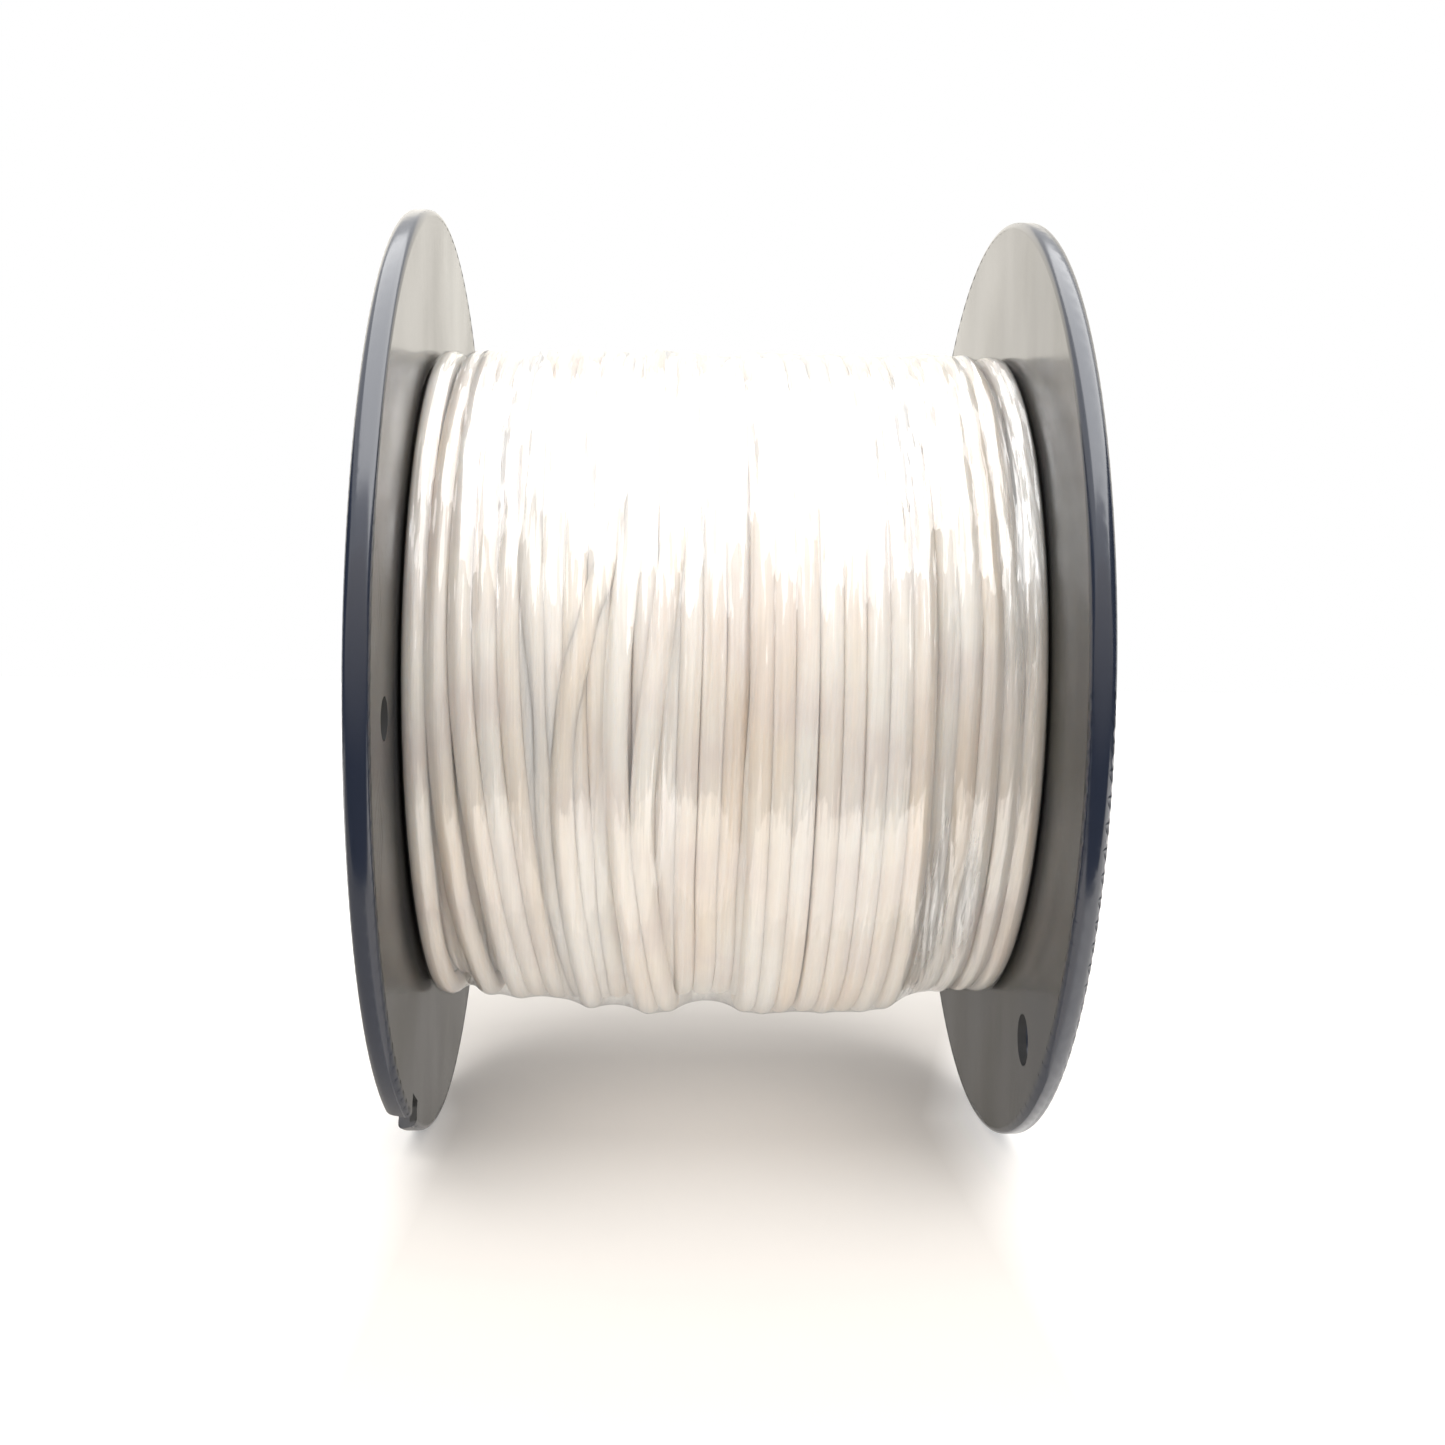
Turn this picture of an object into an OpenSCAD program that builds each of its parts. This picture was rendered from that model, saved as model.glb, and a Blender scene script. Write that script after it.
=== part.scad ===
// Line spool: two snap-on flanges on a barrel, an arbor tube for the spindle,
// a winding of thick round line and a tight clear film over the winding.
// The spool axis runs along X, the origin is at its middle, and both rims rest at the lowest Z.

/* [Flanges] */
// Outside diameter of each flange
flange_d = 100; // [88:1:140]
// Thickness of each flange at its rim
flange_t = 2.4; // [2:0.1:4]
// Distance between the inner faces of the flanges
traverse = 61; // [48:0.5:90]
// Radius of the rounded rim edges
rim_round = 0.7; // [0.3:0.1:0.9]
// Width of the raised rim on the outer face
rim_w = 3; // [2:0.5:3.5]
// Depth of the shallow dish in the outer face
dish_depth = 0.5; // [0.2:0.1:0.8]

/* [Line holes and notch] */
// Diameter of the line hole in the left flange
left_hole_d = 4; // [2.5:0.1:5.5]
// Distance of the left line hole from the rim to its centre
left_hole_inset = 8.1; // [6:0.1:9]
// Angle of the left line hole, from the bottom towards the front
left_hole_angle = 85; // [45:1:180]
// Diameter of the line hole in the right flange
right_hole_d = 5.2; // [2.5:0.1:5.5]
// Distance of the right line hole from the rim to its centre
right_hole_inset = 6.6; // [5:0.1:9]
// Angle of the right line hole, from the bottom towards the front
right_hole_angle = 35; // [20:1:180]
// Angle of the rim notch in the left flange, from the bottom towards the front
notch_angle = 26; // [14:1:40]
// Width of the rim notch at the outer face
notch_w = 12; // [4:0.5:14]
// Width of the rim notch at the inner face
notch_tip_w = 1.2; // [0.5:0.1:3]
// Depth of the rim notch
notch_depth = 2.6; // [1:0.1:4]

/* [Barrel and arbor] */
// Outside diameter of the barrel
barrel_d = 44; // [40:0.5:56]
// Wall of the barrel
barrel_wall = 2; // [1.6:0.1:3]
// Diameter of the spindle bore
bore_d = 16; // [10:0.5:20]
// Wall of the arbor tube
arbor_wall = 2; // [1.2:0.1:2.6]
// Chamfer at both ends of the spindle bore
bore_chamfer = 0.5; // [0.2:0.1:1]

/* [Hub of each flange] */
// Wall of the hub ring round the arbor tube
hub_wall = 2; // [1.2:0.1:2.5]
// Length of the hub ring past the inner face
hub_len = 14; // [6:0.5:20]
// Wall of the collar inside the barrel
collar_wall = 2; // [1.4:0.1:2.6]
// Length of the collar past the inner face
collar_len = 11; // [9:0.5:18]
// Width of the flat ring round the hub opening on the outer face
eye_w = 3.5; // [2:0.5:6]
// Number of ribs between the hub ring and the collar
rib_count = 6; // [3:1:8]
// Thickness of each rib
rib_t = 1.6; // [1:0.1:2.4]
// Depth of the rib edges below the outer face
rib_setback = 1; // [0.5:0.1:1.6]

/* [Snap fingers] */
// Number of snap fingers on each collar
snap_count = 4; // [2:1:6]
// Width of each barb
barb_w = 6; // [4:0.5:8]
// Height of each barb above the collar
barb_h = 0.9; // [0.5:0.1:1.2]
// Length of each barb along the axis
barb_len = 3; // [2:0.1:4]
// Distance of the barbs' holding face from the flange
barb_at = 6; // [4:0.1:7]
// Width of the slits beside each barb
slit_w = 1; // [0.6:0.1:1.6]

/* [Line] */
// Diameter of the line
line_d = 2.2; // [1.6:0.05:2.8]
// Least gap wanted between two turns
turn_gap = 0.45; // [0.42:0.01:1]
// Diameter over the outer layer where it lies lowest
pack_d = 70.4; // [60:0.2:78]
// Rise of the two raised groups of turns
group_rise = 1.9; // [0:0.1:2.4]
// Middle of the narrow raised group along the axis
narrow_group_at = -8; // [-14:0.5:-6]
// Width of the narrow raised group
narrow_group_w = 8; // [5:0.5:10]
// Middle of the wide raised group along the axis
wide_group_at = 11; // [8:0.5:14]
// Width of the wide raised group
wide_group_w = 19; // [10:0.5:20]
// Length of the slope at each side of a raised group
group_slope = 4; // [3.5:0.5:6]
// Gap between the end turns and the flanges
end_gap = 1; // [0.8:0.1:2]
// Dip of the line where it crosses over to its next turn
crossover_dip = 0.7; // [0.6:0.05:0.75]

/* [Film] */
// Thickness of the clear film
film_t = 0.25; // [0.15:0.05:0.4]
// Dip of the film between two turns
film_dip = 0.45; // [0:0.05:0.45]

/* [Clearances] */
// Radial clearance between the collar and the barrel
collar_clear = 0.1; // [0.05:0.05:0.3]
// Radial clearance between the arbor tube and the hub ring
arbor_clear = 0.05; // [0.02:0.01:0.2]
// Clearance between the barrel ends and the flanges
seat_clear = 0.05; // [0.02:0.01:0.2]
// Clearance round each barb in its window
window_clear = 0.3; // [0.1:0.1:0.6]
// Clearance of the wound line from the barrel and the flanges
core_clear = 0.15; // [0.05:0.05:0.3]
// Clearance between the outer layer and the core below it or the film above it
layer_clear = 0.15; // [0.12:0.01:0.3]

/* [Hidden] */
$fn = 96;
cut = 1;

flange_r = flange_d / 2;
inner_face = traverse / 2;
outer_face = inner_face + flange_t;
barrel_r = barrel_d / 2;
barrel_bore_r = barrel_r - barrel_wall;
collar_r = barrel_bore_r - collar_clear;
collar_bore_r = collar_r - collar_wall;
bore_r = bore_d / 2;
arbor_r = bore_r + arbor_wall;
hub_bore_r = arbor_r + arbor_clear;
hub_r = hub_bore_r + hub_wall;
eye_r = collar_bore_r + eye_w;
rib_embed = min(hub_wall, collar_wall) / 2;
slit_root = barb_at / 2;

rings_per_loop = 24;
ring_angle = 360 / rings_per_loop;
crossover_rings = 3;
tube_sides = 6;
line_r = line_d / 2;
chord_drop = cos(ring_angle / 2);
turn_end = inner_face - end_gap - line_r;
loops = floor(2 * turn_end / (line_d + turn_gap)) + 1;
pitch = 2 * turn_end / (loops - 1);
low_r = pack_d / 2 - line_r;
back_angle = 90;
core_steps = 72;
envelope_steps = 9;
film_steps = 6;
shoulder_steps = 6;

plastic = "#26282d";
inner_plastic = "#3a3c41";
line_cream = "#efe6da";
inner_cream = "#e0d5c6";
clear_film = [0.93, 0.95, 0.97, 0.3];

// Turns a shape built round Z so that its axis runs along X, with its zero angle at the bottom
module along_spool_axis() {
    rotate([0, 90, 0]) children();
}

// Places a shape at an angle from the bottom towards the front, at a radius
module at_front_angle(angle, radius) {
    rotate([0, 0, -angle]) translate([radius, 0, 0]) children();
}

// Half of the disc's section with its inner face at zero, its rounded rim and its dished outer face
module disc_section() {
    translate([collar_bore_r, -flange_t + dish_depth])
        square([flange_r - rim_round - collar_bore_r, flange_t - dish_depth - rim_round]);
    translate([collar_bore_r, -rim_round])
        square([flange_r - rim_round - collar_bore_r, rim_round]);
    translate([collar_bore_r, -flange_t])
        square([eye_r - collar_bore_r, flange_t]);
    translate([flange_r - rim_w, -flange_t])
        square([rim_w - rim_round, flange_t]);
    translate([flange_r - rim_w, -flange_t + rim_round])
        square([rim_w, flange_t - 2 * rim_round]);
    for (edge = [-rim_round, -flange_t + rim_round])
        translate([flange_r - rim_round, edge]) circle(r = rim_round);
}

// Half of the collar's section with its tapered end
module collar_section() {
    lead = collar_wall / 2;
    polygon([
        [collar_bore_r, -flange_t / 2],
        [collar_r, -flange_t / 2],
        [collar_r, collar_len - lead],
        [collar_r - lead / 2, collar_len],
        [collar_bore_r, collar_len]
    ]);
}

// One barb, with its holding face towards the flange and a ramp towards the collar's end
module barb() {
    intersection() {
        rotate_extrude()
            polygon([
                [collar_r - collar_wall / 2, barb_at],
                [collar_r + barb_h, barb_at],
                [collar_r + barb_h, barb_at + barb_len / 4],
                [collar_r, barb_at + barb_len],
                [collar_r - collar_wall / 2, barb_at + barb_len]
            ]);
        translate([0, -barb_w / 2, barb_at])
            cube([barrel_r, barb_w, barb_len]);
    }
}

// The two slits that free one snap finger
module finger_slits() {
    for (side = [-1, 1])
        translate([collar_bore_r - cut, side * (barb_w + slit_w) / 2 - slit_w / 2, slit_root])
            cube([collar_wall + 2 * cut, slit_w, collar_len]);
}

// Ribs from the hub ring to the collar
module hub_ribs() {
    for (i = [0:rib_count - 1])
        rotate([0, 0, i * 360 / rib_count])
            translate([hub_r - rib_embed, -rib_t / 2, rib_setback - flange_t])
                cube([collar_bore_r - hub_r + 2 * rib_embed, rib_t, collar_len + flange_t - 2 * rib_setback]);
}

// One flange, built round Z with its inner face at zero and its hub towards +Z
module flange_moulding(hole_d, hole_inset, hole_angle) {
    difference() {
        union() {
            rotate_extrude() {
                disc_section();
                collar_section();
            }
            translate([0, 0, -flange_t]) cylinder(r = hub_r, h = flange_t + hub_len);
            hub_ribs();
            for (i = [0:snap_count - 1])
                rotate([0, 0, (i + 0.5) * 360 / snap_count]) barb();
        }
        translate([0, 0, -flange_t - cut]) cylinder(r = hub_bore_r, h = flange_t + hub_len + 2 * cut);
        for (i = [0:snap_count - 1])
            rotate([0, 0, (i + 0.5) * 360 / snap_count]) finger_slits();
        at_front_angle(hole_angle, flange_r - hole_inset)
            translate([0, 0, -flange_t - cut]) cylinder(d = hole_d, h = flange_t + 2 * cut);
    }
}

// A notch in the rim that narrows from the outer face to a tip at the inner face
module rim_notch() {
    at_front_angle(notch_angle, flange_r - notch_depth)
        rotate([0, 90, 0])
            linear_extrude(height = notch_depth + cut)
                polygon([
                    [-cut, -notch_tip_w / 2],
                    [flange_t + cut, -notch_w / 3],
                    [flange_t + cut, notch_w * 2 / 3],
                    [-cut, notch_tip_w / 2]
                ]);
}

module left_flange() {
    color(plastic)
        translate([-inner_face, 0, 0])
            along_spool_axis()
                difference() {
                    flange_moulding(left_hole_d, left_hole_inset, left_hole_angle);
                    rim_notch();
                }
}

module right_flange() {
    color(plastic)
        mirror([1, 0, 0])
            translate([-inner_face, 0, 0])
                along_spool_axis()
                    flange_moulding(right_hole_d, right_hole_inset, right_hole_angle);
}

// Windows through one end of the barrel for the barbs
module snap_windows() {
    for (i = [0:snap_count - 1])
        rotate([0, 0, (i + 0.5) * 360 / snap_count])
            translate([collar_bore_r, -barb_w / 2 - window_clear, barb_at - window_clear - inner_face])
                cube([barrel_r, barb_w + 2 * window_clear, barb_len + 2 * window_clear]);
}

module barrel() {
    color(inner_plastic)
        along_spool_axis()
            difference() {
                cylinder(r = barrel_r, h = traverse - 2 * seat_clear, center = true);
                cylinder(r = barrel_bore_r, h = traverse + 2 * cut, center = true);
                snap_windows();
                mirror([0, 0, 1]) snap_windows();
            }
}

module arbor_tube() {
    color(inner_plastic)
        along_spool_axis()
            rotate_extrude()
                polygon([
                    [bore_r, bore_chamfer - outer_face],
                    [bore_r + bore_chamfer, -outer_face],
                    [arbor_r, -outer_face],
                    [arbor_r, outer_face],
                    [bore_r + bore_chamfer, outer_face],
                    [bore_r, outer_face - bore_chamfer]
                ]);
}

function limit(value, low, high) = max(low, min(high, value));
function ease(t) = let (u = limit(t, 0, 1)) u * u * (3 - 2 * u);
function hump(z, middle, width) =
    ease((width / 2 + group_slope / 2 - abs(z - middle)) / group_slope);

// Radius of the outer layer's centreline at a place along the axis
function line_radius(z) =
    low_r + group_rise * (hump(z, narrow_group_at, narrow_group_w) + hump(z, wide_group_at, wide_group_w));

// Height of a turn's round section at a distance along the axis from its centre
function arc_height(distance, reach) = sqrt(max(0, reach * reach - distance * distance));

// Radius just under the turns at a place along the axis, with room for the crossovers
function under_turns(z, reach) =
    min([
        for (k = [-envelope_steps:envelope_steps])
            let (place = limit(z + reach * k / envelope_steps, -turn_end, turn_end))
            line_radius(place) * chord_drop - crossover_dip - arc_height(z - place, reach)
    ]);

// Radius just over the turns at a place along the axis, where the film bridges from turn to turn
function over_turns(z, reach) =
    let (
        turn = round((z + turn_end) / pitch),
        middle = turn * pitch - turn_end
    )
    max(line_radius(middle) + arc_height(z - middle, reach), line_radius(z) + reach - film_dip);

// Outline of the film from its left edge to its right edge, round the end turns
function film_outline(reach) =
    concat(
        [for (i = [shoulder_steps:-1:1])
            let (turn = 90 * i / shoulder_steps)
            [line_radius(-turn_end) + reach * cos(turn), -turn_end - reach * sin(turn)]],
        [for (i = [0:(loops - 1) * film_steps])
            let (z = i * pitch / film_steps - turn_end)
            [over_turns(z, reach), z]],
        [for (i = [1:shoulder_steps])
            let (turn = 90 * i / shoulder_steps)
            [line_radius(turn_end) + reach * cos(turn), turn_end + reach * sin(turn)]]
    );
function reversed(list) = [for (i = [len(list) - 1:-1:0]) list[i]];

// The centreline of the outer layer: each turn lies square to the axis and crosses over at the back
function turn_point(i) =
    let (
        angle = back_angle + ring_angle * (i + crossover_rings / 2),
        step = limit((i % rings_per_loop - rings_per_loop) / crossover_rings + 1, 0, 1),
        z = pitch * (floor(i / rings_per_loop) + ease(step)) - turn_end,
        r = line_radius(z) - crossover_dip * sin(180 * step)
    )
    [r * cos(angle), r * sin(angle), z];
function unit(v) = v / norm(v);
turns = [for (i = [0:loops * rings_per_loop - crossover_rings]) turn_point(i)];
last = len(turns) - 1;

// A straight run of one diameter at each end, which leads on round the axis and tucks in a little
function turned(point, angle) =
    [point.x * cos(angle) - point.y * sin(angle), point.x * sin(angle) + point.y * cos(angle), point.z];
function end_run(point, angle) = point + line_d * unit(turned(point, angle) - point);
line_path = concat([end_run(turns[0], -ring_angle)], turns, [end_run(turns[last], ring_angle)]);
line_last = len(line_path) - 1;

// One ring of the tube, square to the path, with its first corner along the axis
function ring(i) =
    let (
        tangent = unit(line_path[min(i + 1, line_last)] - line_path[max(i - 1, 0)]),
        outward = unit([line_path[i].x, line_path[i].y, 0]),
        side = unit(cross(tangent, outward)),
        up = cross(side, tangent)
    )
    [for (k = [0:tube_sides - 1])
        line_path[i] + line_r * (cos(360 * k / tube_sides) * side + sin(360 * k / tube_sides) * up)];

function wall_faces(i, k) =
    let (
        a = i * tube_sides + k,
        b = i * tube_sides + (k + 1) % tube_sides
    )
    [[a, b, b + tube_sides], [a, b + tube_sides, a + tube_sides]];
function cap_faces(first, flipped) =
    [for (k = [1:tube_sides - 2])
        flipped ? [first, first + k + 1, first + k] : [first, first + k, first + k + 1]];

// Least gap between the surfaces of two turns, measured between the path's points
least_gap = min([
    for (i = [0:line_last])
        for (j = [i + rings_per_loop / 2:1:min(i + 2 * rings_per_loop, line_last)])
            norm(line_path[i] - line_path[j]) - line_d
]);
echo(str("outer layer: ", loops, " loops, least gap to itself ", least_gap, " mm"));

module line_core() {
    end = inner_face - core_clear;
    color(inner_cream)
        along_spool_axis()
            rotate_extrude()
                polygon(concat(
                    [for (i = [0:core_steps])
                        let (z = end * (2 * i / core_steps - 1))
                        [under_turns(z, line_r + layer_clear), z]],
                    [[barrel_r + core_clear, end], [barrel_r + core_clear, -end]]
                ));
}

module line_outer_layer() {
    color(line_cream)
        along_spool_axis()
            polyhedron(
                points = [for (i = [0:line_last]) each ring(i)],
                faces = concat(
                    [for (i = [0:line_last - 1]) for (k = [0:tube_sides - 1]) each wall_faces(i, k)],
                    cap_faces(0, true),
                    cap_faces(line_last * tube_sides, false)
                )
            );
}

module film_wrap() {
    inside = line_r + layer_clear;
    color(clear_film)
        along_spool_axis()
            rotate_extrude()
                polygon(concat(film_outline(inside + film_t), reversed(film_outline(inside))));
}

left_flange();
right_flange();
barrel();
arbor_tube();
line_core();
line_outer_layer();
film_wrap();
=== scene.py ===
"""Looks of a line spool: moulded flanges, a barrel, an arbor, a winding of thick line and a clear film."""

import logging
import math
from dataclasses import dataclass, field
from enum import Enum

import bpy
import numpy as np
from bpy.types import Material, Modifier, Node, NodeOutputs, NodeSocket, NodeTree, Object
from mathutils import Matrix, Vector

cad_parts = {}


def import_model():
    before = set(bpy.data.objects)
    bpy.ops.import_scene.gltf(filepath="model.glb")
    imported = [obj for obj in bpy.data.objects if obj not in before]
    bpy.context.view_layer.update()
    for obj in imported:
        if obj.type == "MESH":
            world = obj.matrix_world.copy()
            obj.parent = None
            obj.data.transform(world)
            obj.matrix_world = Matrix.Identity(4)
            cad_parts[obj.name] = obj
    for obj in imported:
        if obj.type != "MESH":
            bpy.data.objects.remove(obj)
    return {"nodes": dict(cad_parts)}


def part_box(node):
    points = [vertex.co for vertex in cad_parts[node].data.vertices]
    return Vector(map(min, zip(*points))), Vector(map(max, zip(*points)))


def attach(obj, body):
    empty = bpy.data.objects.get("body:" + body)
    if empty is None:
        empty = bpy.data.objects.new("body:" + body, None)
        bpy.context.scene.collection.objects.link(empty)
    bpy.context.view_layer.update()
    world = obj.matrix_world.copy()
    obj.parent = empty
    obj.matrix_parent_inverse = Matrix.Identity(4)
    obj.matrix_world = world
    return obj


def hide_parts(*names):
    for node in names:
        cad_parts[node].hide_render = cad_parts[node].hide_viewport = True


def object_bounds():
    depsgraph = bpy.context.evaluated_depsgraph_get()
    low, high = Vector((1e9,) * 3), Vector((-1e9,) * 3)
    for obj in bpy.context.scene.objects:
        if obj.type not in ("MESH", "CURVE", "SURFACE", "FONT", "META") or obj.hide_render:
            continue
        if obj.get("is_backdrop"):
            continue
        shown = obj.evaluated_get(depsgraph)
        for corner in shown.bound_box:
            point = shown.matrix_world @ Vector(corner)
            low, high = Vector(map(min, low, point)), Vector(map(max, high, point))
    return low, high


LOG = logging.getLogger("spool")
MM = 0.001
BODY = "root"
WHITE = "#ffffff"

Span = tuple[float, float]
Point = tuple[float, float, float]


class Ray(Enum):
    """The kinds of ray that can be kept from seeing a stage object."""

    CAMERA = "visible_camera"
    DIFFUSE = "visible_diffuse"
    GLOSSY = "visible_glossy"
    TRANSMISSION = "visible_transmission"
    SHADOW = "visible_shadow"


class End(Enum):
    """The two ends of the winding, with the way that each faces along the axis."""

    LEFT = -1
    RIGHT = 1


def linear(colour: str) -> tuple[float, float, float, float]:
    """Turns an sRGB hex colour into linear values, on the curve of the sRGB standard.

    Args:
        colour: Six hex digits after a hash sign.

    Returns:
        Linear red, green and blue, with an alpha of one.
    """
    shares = [int(colour[i : i + 2], 16) / 255 for i in (1, 3, 5)]
    low = [s / 12.92 if s <= 0.04045 else ((s + 0.055) / 1.055) ** 2.4 for s in shares]
    return (low[0], low[1], low[2], 1.0)


def add_node(tree: NodeTree, kind: str, inputs: dict | tuple = (), **settings: object) -> Node:
    """Adds one node to a tree, with its settings and links.

    Args:
        tree: The node tree that takes the node.
        kind: Blender's name of the node's type.
        inputs: What each input takes, by the input's name, or in the inputs' own order where it is a
            tuple: a value, an output socket, or a node, whose first output in use is taken.
        settings: The node's own properties.

    Returns:
        The new node.
    """
    node = tree.nodes.new(kind)
    for name, value in settings.items():
        setattr(node, name, value)
    for name, value in inputs.items() if isinstance(inputs, dict) else enumerate(inputs):
        if isinstance(value, Node):
            value = next(socket for socket in value.outputs if socket.enabled)
        if isinstance(value, NodeSocket):
            tree.links.new(value, node.inputs[name])
        else:
            node.inputs[name].default_value = value
    return node


def new_material(name: str) -> tuple[Material, NodeTree]:
    """Makes an empty node material.

    Args:
        name: The material's name.

    Returns:
        The material and its node tree.
    """
    material = bpy.data.materials.new(name)
    material.use_nodes = True
    material.node_tree.nodes.clear()
    return material, material.node_tree


def geometry_tree(name: str, inputs: dict[str, str]) -> tuple[NodeTree, NodeOutputs]:
    """Makes an empty tree of geometry nodes.

    Args:
        name: The tree's name.
        inputs: The socket type of each named input, beside the geometry.

    Returns:
        The tree and the outputs of its input node.
    """
    tree = bpy.data.node_groups.new(name, "GeometryNodeTree")
    tree.is_modifier = True
    for label, kind in {"Geometry": "NodeSocketGeometry", **inputs}.items():
        tree.interface.new_socket(name=label, in_out="INPUT", socket_type=kind)
    tree.interface.new_socket(name="Geometry", in_out="OUTPUT", socket_type="NodeSocketGeometry")
    return tree, add_node(tree, "NodeGroupInput").outputs


def add_modifier(piece: Object, tree: NodeTree, values: dict[str, object]) -> Modifier:
    """Adds a node tree to a piece, with its named inputs set through their sockets' identifiers.

    Args:
        piece: The object that takes the modifier.
        tree: The tree of geometry nodes.
        values: The value of each named input.

    Returns:
        The modifier.
    """
    modifier = piece.modifiers.new(tree.name, "NODES")
    modifier.node_group = tree
    for socket in tree.interface.items_tree:
        if socket.in_out == "INPUT" and socket.name in values:
            modifier[socket.identifier] = values[socket.name]
    return modifier


def mesh_object(name: str, points: np.ndarray, faces: np.ndarray, smooth: bool = True) -> Object:
    """Makes a mesh object at the origin from points in the shared frame.

    Args:
        name: The object's name.
        points: One row of three coordinates in metres for each vertex.
        faces: One row of vertex numbers for each face.
        smooth: Whether the faces are shaded smooth.

    Returns:
        The object, linked to the scene.
    """
    mesh = bpy.data.meshes.new(name)
    mesh.from_pydata([tuple(p) for p in points], [], [tuple(int(i) for i in f) for f in faces])
    mesh.update()
    for polygon in mesh.polygons:
        polygon.use_smooth = smooth
    obj = bpy.data.objects.new(name, mesh)
    bpy.context.scene.collection.objects.link(obj)
    return obj


def eased(share: np.ndarray) -> np.ndarray:
    """Eases a share from nought to one with level ends."""
    held = np.clip(share, 0.0, 1.0)
    return held * held * (3.0 - 2.0 * held)


def turn_angles(samples: int) -> np.ndarray:
    """Angles of one turn in degrees up from the front, from the back round the bottom to the back again."""
    return -180.0 + 360.0 * np.arange(samples) / samples


def blurred(rows: np.ndarray, reach: float, axis: int = 0, wrap: bool = False) -> np.ndarray:
    """Blurs an array along one axis with a bell curve.

    Args:
        rows: The array.
        reach: The bell's standard deviation in samples.
        axis: The axis that is blurred.
        wrap: Whether the axis closes on itself.

    Returns:
        The blurred array, of the same shape.
    """
    half = max(1, int(3 * reach))
    bell = np.exp(-0.5 * (np.arange(-half, half + 1) / reach) ** 2)
    bell /= bell.sum()
    pads = [(0, 0)] * rows.ndim
    pads[axis] = (half, half)
    padded = np.pad(rows, pads, mode="wrap" if wrap else "edge")
    return np.apply_along_axis(lambda row: np.convolve(row, bell, mode="valid"), axis, padded)


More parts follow.
